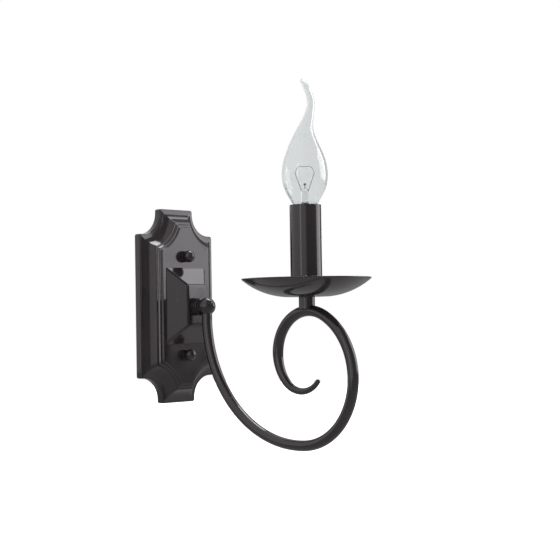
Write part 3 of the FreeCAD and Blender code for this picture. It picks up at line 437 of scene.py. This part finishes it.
BLUE = Finish("blue_insulation", "blue_insulation", (0.07, 0.17, 0.5), (0.05, 0.12, 0.4),
              gloss_low=0.4, gloss_high=0.55)


def dress(nodes: dict[str, bpy.types.Object], names: Sequence[str], finish: Finish) -> None:
    """Gives CAD nodes a finish.

    Args:
        nodes: The frame's nodes by name.
        names: Which of them to dress.
        finish: Their finish.
    """
    for name in names:
        mesh = nodes[name].data
        mesh.materials.clear()
        mesh.materials.append(finish.material())
        LOG.info("%s keeps its CAD shape, in %s", name, finish.name)


# ------------------------------------------------------------------ backplate
@dataclass
class Backplate:
    """The pressed plate: rim, cove, two steps, flat panel and raised boss.

    ledge and step are insets.  Each pair from cove_low to panel is an inset from the
    plate's edge and a depth from the wall, and each boss pair is half a width and half a
    height.  The values from soft to top_rounding say where a corner's rounding starts.
    """

    half_width: float = 40.9
    half_height: float = 81.0
    wall: float = 1.2
    scoop: float = 18.2
    scoop_centre: tuple[float, float] = (36.7, 77.8)
    rim_tip: float = 2.2
    inner_tip: float = 0.9
    tip_fade: float = 0.3
    rim_depth: float = 6.0
    rim_rounding: float = 1.2
    ledge: float = 1.4
    cove_low: tuple[float, float] = (4.6, 6.9)
    cove_high: tuple[float, float] = (8.3, 9.4)
    ridge: tuple[float, float] = (11.2, 13.6)
    bead: tuple[float, float] = (13.6, 15.2)
    panel: tuple[float, float] = (15.8, 16.7)
    step: float = 1.5
    boss_foot: tuple[float, float] = (21.9, 31.55)
    boss_top: tuple[float, float] = (9.55, 16.8)
    boss_depth: float = 30.1
    boss_rounding: float = 1.5
    hub_up: float = -1.0
    hub_hole: float = 5.2
    hole_margin: float = 0.3
    soft: float = 0.4
    crisp: float = 0.3
    back_edge: float = 0.2
    cove_edge: float = 0.5
    foot_fillet: float = 0.7
    top_rounding: float = 1.9
    edge_points: int = 14
    tip_points: int = 6
    scoop_points: int = 26
    rim_steps: int = 7

    def quarter(self, inset: float) -> np.ndarray:
        """A quarter of an outline: a rectangle with a hollow corner, parallel to the rim.

        The hollow is a circle of radius R + inset about a fixed centre, with a short
        straight run at each end where that centre lies inside the edge.  At a length s
        along it, the angle is a0 + (s - first run) / radius.  Each tip is the parabola of
        its corner and the two points one cut from it.

        Args:
            inset: How far inside the plate's edge the outline lies.

        Returns:
            The points from the top middle to just above the right middle.
        """
        wide, tall = self.half_width - inset, self.half_height - inset
        across, up = self.scoop_centre
        radius = self.scoop + inset
        start = math.asin(max(0.0, up - tall) / radius)
        bend = radius * (math.acos(max(0.0, across - wide) / radius) - start)
        first_run, last_run = max(0.0, tall - up), max(0.0, wide - across)
        total = first_run + bend + last_run

        def hollow(run: np.ndarray) -> np.ndarray:
            """Points of the hollow at lengths along it."""
            angle = start + np.clip(run - first_run, 0.0, bend) / radius
            above = first_run - np.minimum(run, first_run)
            beyond = np.maximum(run - first_run - bend, 0.0)
            return np.stack([across - radius * np.cos(angle) + beyond,
                             up - radius * np.sin(angle) + above], axis=-1)

        tip = max(self.inner_tip, self.rim_tip - self.tip_fade * inset)
        top_tip, leave, arrive, side_tip = hollow(np.array([0.0, tip, total - tip, total]))
        top_end, side_start = top_tip - [tip, 0.0], side_tip - [0.0, tip]
        edge = np.linspace(0.0, 1.0, self.edge_points, endpoint=False)[:, None]
        t = np.linspace(0.0, 1.0, self.tip_points, endpoint=False)[:, None]
        return np.concatenate([
            (1 - edge) * [0.0, tall] + edge * top_end,
            (1 - t) ** 2 * top_end + 2 * t * (1 - t) * top_tip + t * t * leave,
            hollow(np.linspace(tip, total - tip, self.scoop_points, endpoint=False)),
            (1 - t) ** 2 * arrive + 2 * t * (1 - t) * side_tip + t * t * side_start,
            (1 - edge) * side_start + edge * [wide, 0.0]])

    def scooped(self, inset: float, depth: float) -> np.ndarray:
        """A whole scooped outline at an inset and a depth."""
        return self.all_round(self.quarter(inset), depth)

    def boss_outline(self, half: tuple[float, float], depth: float) -> np.ndarray:
        """One rounded rectangle of the boss.

        Its points stand at the same shares of its edges as the panel outline's points do,
        so the faces between the two fan out without crossing.

        Args:
            half: Half its width and half its height.
            depth: How far out from the wall it lies.

        Returns:
            The outline's points, as many as a scooped outline has.
        """
        wide, tall = half
        turn = self.boss_rounding
        panel = self.quarter(self.panel[0])
        upper = self.edge_points + self.tip_points + self.scoop_points
        lower = upper + self.tip_points
        top = panel[:upper, :1] / panel[upper, 0] * [wide - turn, 0.0] + [0.0, tall]
        corner = arc((wide - turn, tall - turn), turn, 90.0, 0.0, self.tip_points)[:-1]
        side = panel[lower:, 1:] / panel[lower, 1] * [0.0, tall - turn] + [wide, 0.0]
        return self.all_round(np.concatenate([top, corner, side]), depth)

    @staticmethod
    def all_round(quarter: np.ndarray, depth: float) -> np.ndarray:
        """Mirrors a quarter outline, from top middle to right middle, into a whole one."""
        right_middle = np.array([[quarter[-1, 0], 0.0]])
        half = np.concatenate([quarter, right_middle, (quarter[1:] * [1, -1])[::-1]])
        bottom_middle = quarter[:1] * [1, -1]
        whole = np.concatenate([half, bottom_middle, (half[1:] * [-1, 1])[::-1]])
        return np.stack([whole[:, 0], np.full(len(whole), -depth), whole[:, 1]], axis=-1)

    def hole(self, outline: np.ndarray, depth: float, margin: float = 0.0) -> np.ndarray:
        """The hub hole's edge, or a ring a margin outside it, along the outline's directions."""
        angle = np.arctan2(outline[:, 2] - self.hub_up, outline[:, 0])
        radius = self.hub_hole + margin
        return np.stack([radius * np.cos(angle), np.full(len(angle), -depth),
                         self.hub_up + radius * np.sin(angle)], axis=-1)

    def cove(self, steps: int = 8) -> list[tuple[float, float]]:
        """The hollow between rim and ridge: a Hermite curve of depth over inset."""
        marks = np.array([(self.ledge, self.rim_depth), self.cove_low, self.cove_high, self.ridge])
        inset = np.linspace(marks[0, 0], marks[-1, 0], steps + 1)
        return list(zip(inset, smooth_between(marks[:, 0], marks[:, 1], inset)))

    def shell(self) -> bpy.types.Object:
        """Builds the plate as one closed shell, from its hidden inner face round to the front.

        Returns:
            The new object.
        """
        wall = self.wall
        stations, cuts = [], []

        def add(outline: np.ndarray, cut: float) -> None:
            """Adds an outline and where its rounding starts."""
            stations.append(outline)
            cuts.append(cut)

        def inner_boss(half: tuple[float, float], depth: float) -> np.ndarray:
            """The hidden face's outline, one wall inside an outline of the boss."""
            return self.boss_outline((half[0] - wall, half[1] - wall), depth - wall)

        inner_top = inner_boss(self.boss_top, self.boss_depth)
        add(self.hole(inner_top, self.boss_depth - wall), 0.0)
        add(inner_top, self.soft)
        add(inner_boss(self.boss_foot, self.panel[1]), self.soft)
        add(self.scooped(self.panel[0] + wall, self.panel[1] - wall), self.soft)
        add(self.scooped(self.ridge[0] + self.step + wall, self.ridge[1] - wall), self.crisp)
        for inset, depth in reversed(self.cove()):
            add(self.scooped(inset + wall, depth - wall), 0.0)
        add(self.scooped(wall, self.rim_depth - wall), self.soft)
        add(self.scooped(wall, 0.0), self.back_edge)
        add(self.scooped(0.0, 0.0), self.crisp)
        turn = self.rim_rounding
        rim = arc((turn, self.rim_depth - turn), turn, 180.0, 90.0, self.rim_steps)
        for inset, depth in rim.tolist():
            add(self.scooped(inset, depth), 0.0)
        for inset, depth in self.cove():
            first_or_last = inset in (self.ledge, self.ridge[0])
            add(self.scooped(inset, depth), self.cove_edge if first_or_last else 0.0)
        add(self.scooped(self.ridge[0] + self.step, self.ridge[1]), self.soft)
        add(self.scooped(*self.bead), self.soft)
        add(self.scooped(self.bead[0] + self.step, self.bead[1]), self.crisp)
        add(self.scooped(*self.panel), self.soft)
        add(self.boss_outline(self.boss_foot, self.panel[1]), self.foot_fillet)
        outer_top = self.boss_outline(self.boss_top, self.boss_depth)
        add(outer_top, self.top_rounding)
        add(self.hole(outer_top, self.boss_depth, self.hole_margin), 0.0)
        add(self.hole(outer_top, self.boss_depth), 0.0)
        points = softened(np.array(stations), cuts)
        return grid_piece("backplate_shell", points, ring=True)

    def build(self) -> None:
        """Makes the plate and gives it its enamel."""
        place_piece(self.shell(), "frame", ["backplate"], ENAMEL)


@dataclass
class CapNut:
    """A ball-headed cap nut on its thin washer, on the plate's panel."""

    name: str
    up: float
    seat_out: float = 16.7
    bore: float = 2.05
    washer: tuple[float, float] = (4.7, 1.1)
    neck: float = 4.0
    neck_rise: float = 0.4
    ball: float = 5.0
    nut_bore: float = 6.0
    bore_cut: float = 0.1
    under_cut: float = 0.25
    front_cut: float = 0.35
    ball_steps: int = 36

    def build(self) -> None:
        """Makes the washer and the nut, each on its own body."""
        radius, thick = self.washer
        washer = turned_piece(self.name + "_washer_ring", [
            (self.bore, 0.5 * thick, 0), (self.bore, 0, self.bore_cut),
            (radius, 0, self.under_cut), (radius, thick, self.front_cut),
            (self.bore, thick, self.bore_cut), (self.bore, 0.5 * thick, 0)],
            (0, self.seat_out, self.up), Facing.OUT, ring=True)
        place_piece(washer, self.name + "_washer", [self.name + "_cap_washer"], ENAMEL)
        middle = self.neck_rise + math.sqrt(self.ball ** 2 - self.neck ** 2)
        foot = -math.degrees(math.acos(self.neck / self.ball))
        ball = arc((0.0, middle), self.ball, foot, 90.0, self.ball_steps)
        inside = [(0.0, self.nut_bore), (self.bore, self.nut_bore), (self.bore, 0.0), (self.neck, 0.0)]
        profile = np.concatenate([np.array(inside), ball])
        grid = turned_grid(profile, (0, self.seat_out + thick, self.up), Facing.OUT, SIDES)
        nut = grid_piece(self.name + "_ball_nut", grid)
        place_piece(nut, self.name + "_nut", [self.name + "_cap_nut"], ENAMEL)


# ------------------------------------------------------------------ hub and arm
@dataclass
class Hub:
    """The turned hub: ringed neck, ball and the button on its front."""

    boss_depth: float = 30.1
    up: float = -1.0
    neck: float = 7.4
    rings: int = 3
    ring_width: float = 1.4
    groove_width: float = 0.9
    groove_depth: float = 0.7
    throat: float = 5.0
    ball: float = 7.3
    ball_out: float = 41.8
    button: float = 3.1
    button_rim: float = 0.4
    button_rise: float = 1.1
    foot_cut: float = 0.3
    ring_cut: float = 0.4
    groove_cut: float = 0.1
    throat_cut: float = 0.2
    ball_steps: int = 40
    crown_steps: int = 12
    button_sides: int = 64

    def ringed_neck(self) -> list[tuple[float, float, float]]:
        """The corners of the neck's rings and grooves, from the boss to the ball's throat."""
        rise, groove = 0.0, self.neck - self.groove_depth
        corners = [(0.0, 0.0, 0), (self.neck, 0.0, self.foot_cut)]
        for ring in range(self.rings):
            rise += self.ring_width
            corners.append((self.neck, rise, self.ring_cut))
            if ring < self.rings - 1:
                corners.append((groove, rise, self.groove_cut))
                rise += self.groove_width
                corners.append((groove, rise, self.groove_cut))
                corners.append((self.neck, rise, self.ring_cut))
        corners.append((self.throat, rise, self.throat_cut))
        return corners

    def build(self) -> None:
        """Makes the hub and its button."""
        table = np.array(self.ringed_neck())
        centre = self.ball_out - self.boss_depth
        face = math.sqrt(self.ball ** 2 - self.button ** 2)
        low = -math.degrees(math.acos(self.throat / self.ball))
        high = math.degrees(math.acos(self.button / self.ball))
        ball = arc((0.0, centre), self.ball, low, high, self.ball_steps)
        profile = np.concatenate([softened(table[:, :2], table[:, 2]), ball, [[0.0, centre + face]]])
        grid = turned_grid(profile, (0, self.boss_depth, self.up), Facing.OUT, SIDES)
        place_piece(grid_piece("hub_turning", grid), "frame", ["hub_body"], ENAMEL)
        dome = (self.button ** 2 + self.button_rise ** 2) / (2 * self.button_rise)
        start = math.degrees(math.acos(self.button / dome))
        crown_middle = (0.0, self.button_rim + self.button_rise - dome)
        crown = arc(crown_middle, dome, start, 90.0, self.crown_steps)
        profile = np.concatenate([[[0.0, 0.0], [self.button, 0.0]], crown])
        grid = turned_grid(profile, (0, self.ball_out + face, self.up), Facing.OUT, self.button_sides)
        place_piece(grid_piece("hub_front_button", grid), "frame", ["hub_button"], ENAMEL)


@dataclass
class ScrollArm:
    """The bent tube: four arcs that each turn the same way, drawn down to a round tip.

    Each bend is a radius and a turn in degrees.  The tube keeps its full radius through
    the first two and through full_turn degrees of the third.
    """

    start_out: float = 41.8
    start_up: float = -3.5
    drop: float = 10.0
    radius: float = 4.25
    tip_radius: float = 1.95
    bends: tuple[tuple[float, float], ...] = ((100.0, 94.4), (53.0, 147.5), (33.0, 157.5), (22.0, 100.0))
    full_turn: float = 115.5
    spacing: float = 1.5
    least_steps: int = 12
    sides: int = 48

    def line(self) -> tuple[np.ndarray, np.ndarray]:
        """The centre line and how far along it each point is.

        From a point P with heading a, a bend of radius R reaches
        P + R (sin(a+t) - sin a, cos a - cos(a+t)) after a turn t.

        Returns:
            Points (out, up), and their distances along the line.
        """
        place = np.array([self.start_out, -self.drop])
        points = [np.array([[self.start_out, self.start_up]]), place[None]]
        heading = -90.0
        for bend, turn in self.bends:
            steps = max(self.least_steps, int(math.radians(turn) * bend / self.spacing))
            base = math.radians(heading)
            t = np.radians(np.linspace(0.0, turn, steps + 1))[1:]
            ahead = [np.sin(base + t) - math.sin(base), math.cos(base) - np.cos(base + t)]
            points.append(place + bend * np.stack(ahead, axis=-1))
            place = points[-1][-1]
            heading += turn
        line = np.concatenate(points)
        run = np.concatenate([[0.0], np.cumsum(np.linalg.norm(np.diff(line, axis=0), axis=1))])
        return line, run

    def build(self) -> None:
        """Makes the arm."""
        line, run = self.line()
        lengths = [math.radians(turn) * bend for bend, turn in self.bends]
        straight = self.drop + self.start_up
        full = straight + sum(lengths[:2]) + math.radians(self.full_turn) * self.bends[2][0]
        fade = np.clip((run - full) / (run[-1] - full), 0.0, 1.0)
        radii = self.radius + (self.tip_radius - self.radius) * fade
        points = np.stack([np.zeros(len(line)), -line[:, 0], line[:, 1]], axis=-1)
        arm = bar_piece("scroll_arm_tube", points, radii, np.array([1.0, 0.0, 0.0]), self.sides)
        place_piece(arm, "frame", ["scroll_arm"], ENAMEL)


# ------------------------------------------------------------------ candle
@dataclass
class Candle:
    """Neck, drip dish and candle sleeve on the candle's axis."""

    out: float
    neck: float = 6.25
    neck_foot: float = -4.97
    dish: float = 50.0
    dish_flat: float = 12.5
    dish_curve: float = 58.0
    dish_wall: float = 1.0
    foot: float = 4.25
    sleeve: float = 12.25
    sleeve_wall: float = 0.9
    seat_gap: float = 0.3
    top_level: float = 75.0
    dish_seat: float = 1.0
    edge_cut: float = 0.3
    low_cut: float = 0.2
    joint_cut: float = 0.1
    bowl_steps: int = 40
    lip_steps: int = 8
    dish_sides: int = 160
    sleeve_sides: int = 128

    def neck_piece(self) -> None:
        """Makes the neck between the arm and the dish."""
        foot = self.foot
        neck = turned_piece("candle_neck", [
            (0, self.neck_foot, 0), (self.neck, self.neck_foot, self.edge_cut),
            (self.neck, foot, self.joint_cut), (0, foot, 0)], (0, self.out, 0))
        place_piece(neck, "frame", ["neck_sleeve"], ENAMEL)

    def dish_piece(self) -> None:
        """Makes the dish: a flat middle, a bowl on one circle and a half-round lip."""
        reach, hole = self.dish - self.dish_flat, self.neck - self.dish_seat
        sweep = math.degrees(math.asin(reach / self.dish_curve))
        middle, inner_curve = (self.dish_flat, self.dish_curve), self.dish_curve - self.dish_wall
        under = arc(middle, self.dish_curve, -90.0, -90.0 + sweep, self.bowl_steps)
        over = arc(middle, inner_curve, -90.0 + sweep, -90.0, self.bowl_steps)
        tip = tuple((under[-1] + over[0]) / 2)
        lip = arc(tip, self.dish_wall / 2, sweep - 90.0, sweep + 90.0, self.lip_steps)
        profile = np.concatenate([[[hole, 0.0]], under, lip[1:-1], over, [[hole, self.dish_wall]]])
        grid = turned_grid(profile, (0, self.out, self.foot), Facing.UP, self.dish_sides)
        place_piece(grid_piece("drip_dish_bowl", grid, ring=True), "frame", ["drip_dish"], ENAMEL)

    def sleeve_piece(self) -> None:
        """Makes the candle sleeve that stands loose in the dish."""
        low, top = self.foot + self.dish_wall + self.seat_gap, self.top_level
        inner, middle = self.sleeve - self.sleeve_wall, (low + top) / 2
        sleeve = turned_piece("candle_tube", [
            (inner, middle, 0), (inner, low, self.low_cut), (self.sleeve, low, self.low_cut),
            (self.sleeve, top, self.edge_cut), (inner, top, self.edge_cut), (inner, middle, 0)],
            (0, self.out, 0), sides=self.sleeve_sides)
        place_piece(sleeve, "sleeve", ["candle_sleeve"], ENAMEL)

    def build(self) -> None:
        """Makes the neck, the dish and the sleeve."""
        self.neck_piece()
        self.dish_piece()
        self.sleeve_piece()


# ------------------------------------------------------------------ bulb
@dataclass
class Bulb:
    """The clear envelope with its bent tip, and the leads, filament and bead inside.

    Each station is a share of the length, then the envelope's radius there as a share of
    the widest radius and its sideways bow as a share of the greatest.  The loop's points
    are across and above the leads' tops, and the bead's are (radius, height, cut).
    """

    out: float
    cap_top: float = 69.5
    length: float = 102.7
    radius: float = 17.8
    neck: float = 6.35
    neck_sink: float = 3.0
    wall: float = 0.8
    facing: float = -46.5
    bow: float = 5.6
    curl: float = 1.8
    lead: float = 0.22
    lead_foot: float = 2.3
    lead_spread: float = 7.4
    lead_base: float = 85.2
    lead_top: float = 99.6
    coil: float = 0.16
    lead_points: int = 24
    coil_points: int = 60
    lead_sides: int = 10
    coil_sides: int = 8
    bead_sides: int = 32
    tip_rings: int = 10
    bead: tuple[tuple[float, float, float], ...] = (
        (0.0, 87.6, 0.0), (0.3, 87.6, 0.0), (0.3, 90.0, 0.2), (1.0, 90.5, 0.3),
        (1.1, 91.3, 0.3), (0.0, 92.1, 0.0))
    loop: tuple[tuple[float, float], ...] = (
        (-7.4, 0.0), (-6.0, 3.36), (-4.6, 4.8), (0.0, 4.8), (4.6, 4.8), (6.0, 3.36), (7.4, 0.0))
    stations: tuple[tuple[float, float, float], ...] = (
        (0.0, 0.357, 0.0), (0.09, 0.64, 0.0), (0.15, 0.833, 0.0), (0.208, 0.955, 0.0),
        (0.266, 1.0, 0.0), (0.328, 0.981, 0.0), (0.39, 0.91, 0.0), (0.45, 0.786, 0.0),
        (0.51, 0.643, -0.05), (0.57, 0.486, 0.0), (0.63, 0.351, 0.16), (0.69, 0.255, 0.5),
        (0.75, 0.193, 0.81), (0.815, 0.167, 1.0), (0.87, 0.166, 0.87), (0.92, 0.157, 0.54),
        (0.965, 0.145, 0.16))

    def local(self, across: np.ndarray, beside: np.ndarray, rise: np.ndarray) -> np.ndarray:
        """Turns the bulb's own frame by its facing and sets it on the candle's axis."""
        turn = math.radians(self.facing)
        x = across * math.cos(turn) - beside * math.sin(turn)
        y = across * math.sin(turn) + beside * math.cos(turn)
        return np.stack([x, y - self.out, rise + self.cap_top], axis=-1)

    def envelope(self, inset: float, steps: int = 150) -> np.ndarray:
        """Rings of the blown form, one inset inside its outer face.

        Radius and sideways bow are Hermite curves of the rise, and the tip closes on a
        half circle of the last radius.

        Args:
            inset: How far inside the outer face the rings lie.
            steps: Rings above the neck.

        Returns:
            A grid with shape (rings, sides, 3).
        """
        table = np.array(self.stations)
        share = np.linspace(table[0, 0], table[-1, 0], steps)
        width = smooth_between(table[:, 0], table[:, 1], share) * self.radius - inset
        side = smooth_between(table[:, 0], table[:, 2], share) * self.bow
        rise = share * self.length
        end = np.radians(np.linspace(0.0, 90.0, self.tip_rings))[1:]
        lift = self.length - rise[-1] - inset
        width = np.concatenate([[self.neck - inset], width, width[-1] * np.cos(end)])
        side = np.concatenate([[0.0], side, side[-1] - self.curl * np.sin(end)])
        rise = np.concatenate([[-self.neck_sink], rise, rise[-1] + lift * np.sin(end)])
        angle = np.linspace(0.0, 2 * np.pi, SIDES, endpoint=False)
        return self.local(side[:, None] + width[:, None] * np.cos(angle), width[:, None] * np.sin(angle),
                          np.repeat(rise[:, None], SIDES, axis=1))

    def leads(self, side: np.ndarray) -> None:
        """Makes the two splayed leads, which together stand for one node."""
        low, high = self.lead_base - self.cap_top, self.lead_top - self.cap_top
        share, count = np.linspace(0.0, 1.0, self.lead_points), self.lead_points
        for number, sign in enumerate((-1, 1), start=1):
            across = sign * (self.lead_foot + (self.lead_spread - self.lead_foot) * share)
            points = self.local(across, np.zeros(count), low + (high - low) * share)
            radii = np.full(count, self.lead)
            lead = bar_piece("support_lead_%d" % number, points, radii, side, self.lead_sides)
            stands_for = ["bulb_leads"] if number == 1 else []
            place_piece(lead, "bulb", stands_for, WIRE_NICKEL)

    def filament(self, side: np.ndarray) -> None:
        """Makes the filament on a smooth line through its loop's points."""
        count, high = self.coil_points, self.lead_top - self.cap_top
        knots = np.array(self.loop)
        marks = np.concatenate([[0.0], np.cumsum(np.linalg.norm(np.diff(knots, axis=0), axis=1))])
        run = np.linspace(0.0, marks[-1], count)
        across, rise = (smooth_between(marks, knots[:, column], run) for column in (0, 1))
        points = self.local(across, np.zeros(count), high + rise)
        coil = bar_piece("filament_loop", points, np.full(count, self.coil), side, self.coil_sides)
        place_piece(coil, "bulb", ["bulb_filament"], WIRE_NICKEL)

    def build(self) -> None:
        """Makes the glass, the leads, the filament and the bead."""
        outer, inner = self.envelope(0.0), self.envelope(self.wall)
        glass = grid_piece("bulb_envelope", np.concatenate([outer[::-1], inner]))
        place_piece(glass, "bulb", ["bulb_glass"], GLASS)
        turn = math.radians(self.facing)
        side = np.array([-math.sin(turn), math.cos(turn), 0.0])
        self.leads(side)
        self.filament(side)
        bead = turned_piece("stem_bead", self.bead, (0, self.out, 0), sides=self.bead_sides)
        place_piece(bead, "bulb", [], WIRE_NICKEL)


# ------------------------------------------------------------------ hidden fittings
@dataclass
class Fittings:
    """The CAD nodes that keep their shape and get their finish."""

    zinc: tuple[str, ...] = (
        "mounting_strap", "studs", "stud_lock_nuts", "hub_nipple", "hub_washer", "hub_lock_nut",
        "candle_nipple", "dish_nut", "holder_bracket", "bracket_nut", "holder_screw",
        "terminal_pole_screws", "terminal_fixing_screw")
    brass: tuple[str, ...] = (
        "earth_washer", "earth_screw", "holder_terminal_screws", "socket_shell",
        "socket_contact", "terminal_tubes", "bulb_contact")

    def build(self, nodes: dict[str, bpy.types.Object]) -> None:
        """Dresses the hidden fittings."""
        dress(nodes, self.zinc, ZINC)
        dress(nodes, self.brass, BRASS)
        dress(nodes, ("bulb_cap",), NICKEL)
        dress(nodes, ("bulb_stem",), GLASS)
        dress(nodes, ("holder_body", "bulb_insulator"), PHENOLIC)
        dress(nodes, ("terminal_block",), BLOCK)
        dress(nodes, ("live_wire",), BROWN)
        dress(nodes, ("neutral_wire",), BLUE)


# ------------------------------------------------------------------ studio
def ray_kinds(tree: bpy.types.NodeTree) -> tuple[bpy.types.NodeSocket, bpy.types.NodeSocket]:
    """Tells the rays that see plain white from the rays that mirror the room.

    Args:
        tree: The node tree of a world or a material.

    Returns:
        A value of 1 for camera and transmission rays, and one of 1 for glossy rays.
    """
    path = add_node(tree, "LightPath", {})
    kinds = {0: path["Is Camera Ray"], 1: path["Is Transmission Ray"]}
    return add_node(tree, "Math", kinds, operation="MAXIMUM")["Value"], path["Is Glossy Ray"]


@dataclass
class Softbox:
    """One rectangular lamp, placed by its angle from the camera's side round to the right.

    Angles are in degrees, and the distance from the target and the size are in metres.
    """

    name: str
    angle: float
    elevation: float
    distance: float
    size: tuple[float, float]
    radiance: float
    colour: tuple[float, float, float]


@dataclass
class Studio:
    """Camera, lamps, white surroundings and floor.

    shift is in millimetres, and target, clip, floor_level and floor_reach are in metres.
    """

    azimuth: float = -46.56
    elevation: float = -1.55
    roll: float = -0.94
    focal_pixels: float = 1366.43
    shift: tuple[float, float, float] = (-90.60, -21.96, -1153.37)
    picture: int = 560
    sensor: float = 36.0
    target: tuple[float, float, float] = (0.0, -0.1, 0.03)
    clip: tuple[float, float] = (0.01, 50.0)
    floor_level: float = -0.45
    floor_reach: float = 6.0
    floor_shade: float = 0.8
    floor_gloss_shade: float = 0.3
    boxes: tuple[Softbox, ...] = (
        Softbox("right_box", 104.0, 18.0, 1.3, (1.0, 0.9), 2.6, (0.97, 0.94, 1.0)),
        Softbox("slope_box", 133.0, 46.0, 1.4, (0.5, 0.4), 2.4, (0.98, 0.96, 1.0)),
        Softbox("high_box", 150.0, 67.0, 1.5, (0.8, 0.55), 7.0, (0.98, 0.97, 1.0)),
        Softbox("left_box", -36.0, 8.0, 1.7, (0.16, 1.2), 2.2, (1.0, 0.92, 0.87)),
    )
    left_level: float = 0.8
    right_level: float = 0.17
    soft_level: float = 0.8
    side_edge: tuple[float, float] = (-0.05, 0.1)
    backdrop_edge: tuple[float, float] = (0.93, 0.97)

    def towards_camera(self) -> tuple[Vector, Vector]:
        """The level directions from the object to the camera and to its right."""
        turn = math.radians(self.azimuth)
        return Vector((math.sin(turn), -math.cos(turn), 0)), Vector((math.cos(turn), math.sin(turn), 0))

    def camera(self) -> None:
        """Makes the camera of the photograph.

        Its axes are right, up and back, turned by the azimuth, the elevation and the roll.
        A point P lands at R P + shift in the camera's frame, so the camera stands at
        -R^T shift.
        """
        turn, lift, roll = (math.radians(value) for value in (self.azimuth, self.elevation, self.roll))
        right = Vector((math.cos(turn), math.sin(turn), 0))
        back = Vector((math.sin(turn) * math.cos(lift),
                       -math.cos(turn) * math.cos(lift), math.sin(lift)))
        up = back.cross(right)
        rolled_right = right * math.cos(roll) + up * math.sin(roll)
        rolled_up = up * math.cos(roll) - right * math.sin(roll)
        axes = Matrix((rolled_right, rolled_up, back)).transposed()
        data = bpy.data.cameras.new("photo_camera")
        data.sensor_width = self.sensor
        data.lens = self.focal_pixels * self.sensor / self.picture
        data.clip_start, data.clip_end = self.clip
        camera = new_object("photo_camera", data)
        camera.matrix_world = Matrix.Translation(-(axes @ Vector(self.shift)) * MM) @ axes.to_4x4()
        bpy.context.scene.camera = camera

    def lamps(self) -> None:
        """Makes the softboxes, each aimed at the object."""
        near, right = self.towards_camera()
        for box in self.boxes:
            angle, lift = math.radians(box.angle), math.radians(box.elevation)
            way = (near * math.cos(angle) + right * math.sin(angle)) * math.cos(lift)
            way = way + Vector((0, 0, math.sin(lift)))
            data = bpy.data.lights.new(box.name, "AREA")
            data.shape = "RECTANGLE"
            data.size, data.size_y = box.size
            data.energy = box.radiance * math.pi * box.size[0] * box.size[1]
            data.color = box.colour
            lamp = new_object(box.name, data)
            lamp.location = Vector(self.target) + way * box.distance
            lamp.rotation_mode = "QUATERNION"
            lamp.rotation_quaternion = (-way).to_track_quat("-Z", "Y")

    def surroundings(self) -> None:
        """White to the camera, and a studio with a darker side to gloss.

        A direction's share along a level axis fades one level into another: across the
        room from the left side's level to the right side's, and towards the white backdrop
        that stands behind the object.
        """
        world = bpy.data.worlds.new("white_studio")
        bpy.context.scene.world = world
        world.use_nodes = True
        world.cycles.sampling_method = "NONE"
        tree = world.node_tree
        near, right = self.towards_camera()
        where = add_node(tree, "TexCoord", {})["Generated"]

        def fade(axis: Vector, ends: tuple[float, float]) -> bpy.types.NodeSocket:
            """A soft step of the direction's share along an axis."""
            dot = add_node(tree, "VectorMath", {0: where, 1: axis}, operation="DOT_PRODUCT")
            return soft_step(tree, dot["Value"], ends)

        room = mixed(tree, fade(right, self.side_edge), self.left_level, self.right_level)
        room = mixed(tree, fade(-near, self.backdrop_edge), room, 1.0)
        seen, glossy = ray_kinds(tree)
        level = mixed(tree, seen, mixed(tree, glossy, self.soft_level, room), 1.0)
        set_inputs(tree.nodes["Background"], {"Strength": level, "Color": WHITE})

    def floor(self) -> None:
        """A pale floor well below the object, white to the camera and darker in its gloss."""
        grid = np.array([[-1.0, -1.0], [1.0, -1.0], [1.0, 1.0], [-1.0, 1.0]]) * self.floor_reach
        corners = [(x, y, self.floor_level) for x, y in grid.tolist()]
        mesh = bpy.data.meshes.new("studio_floor")
        mesh.from_pydata(corners, [], [(0, 1, 2, 3)])
        floor = new_object("studio_floor", mesh)
        material = bpy.data.materials.new("pale_floor")
        material.use_nodes = True
        tree = material.node_tree
        seen, glossy = ray_kinds(tree)
        shades = [(level, level, level, 1.0) for level in (self.floor_shade, self.floor_gloss_shade)]
        set_inputs(tree.nodes["Principled BSDF"], {
            "Base Color": mixed(tree, glossy, *shades, "RGBA"), "Roughness": 1.0,
            "Emission Color": WHITE, "Emission Strength": seen})
        mesh.materials.append(material)

    def build(self) -> None:
        """Makes the whole studio."""
        bpy.context.scene.view_settings.view_transform = "Standard"
        self.camera()
        self.lamps()
        self.surroundings()
        self.floor()


def main() -> None:
    """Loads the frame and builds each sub-assembly in order."""
    logging.basicConfig(level=logging.INFO, format="%(name)s: %(message)s")
    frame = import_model()
    low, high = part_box("candle_sleeve")
    candle_out = -(low.y + high.y) / 2 / MM
    Studio().build()
    Fittings().build(frame["nodes"])
    Backplate().build()
    for name, up in (("upper", CAP_NUT_UP), ("lower", -CAP_NUT_UP)):
        CapNut(name, up).build()
    Hub().build()
    ScrollArm().build()
    Candle(candle_out).build()
    Bulb(candle_out).build()


if __name__ == "__main__":
    main()
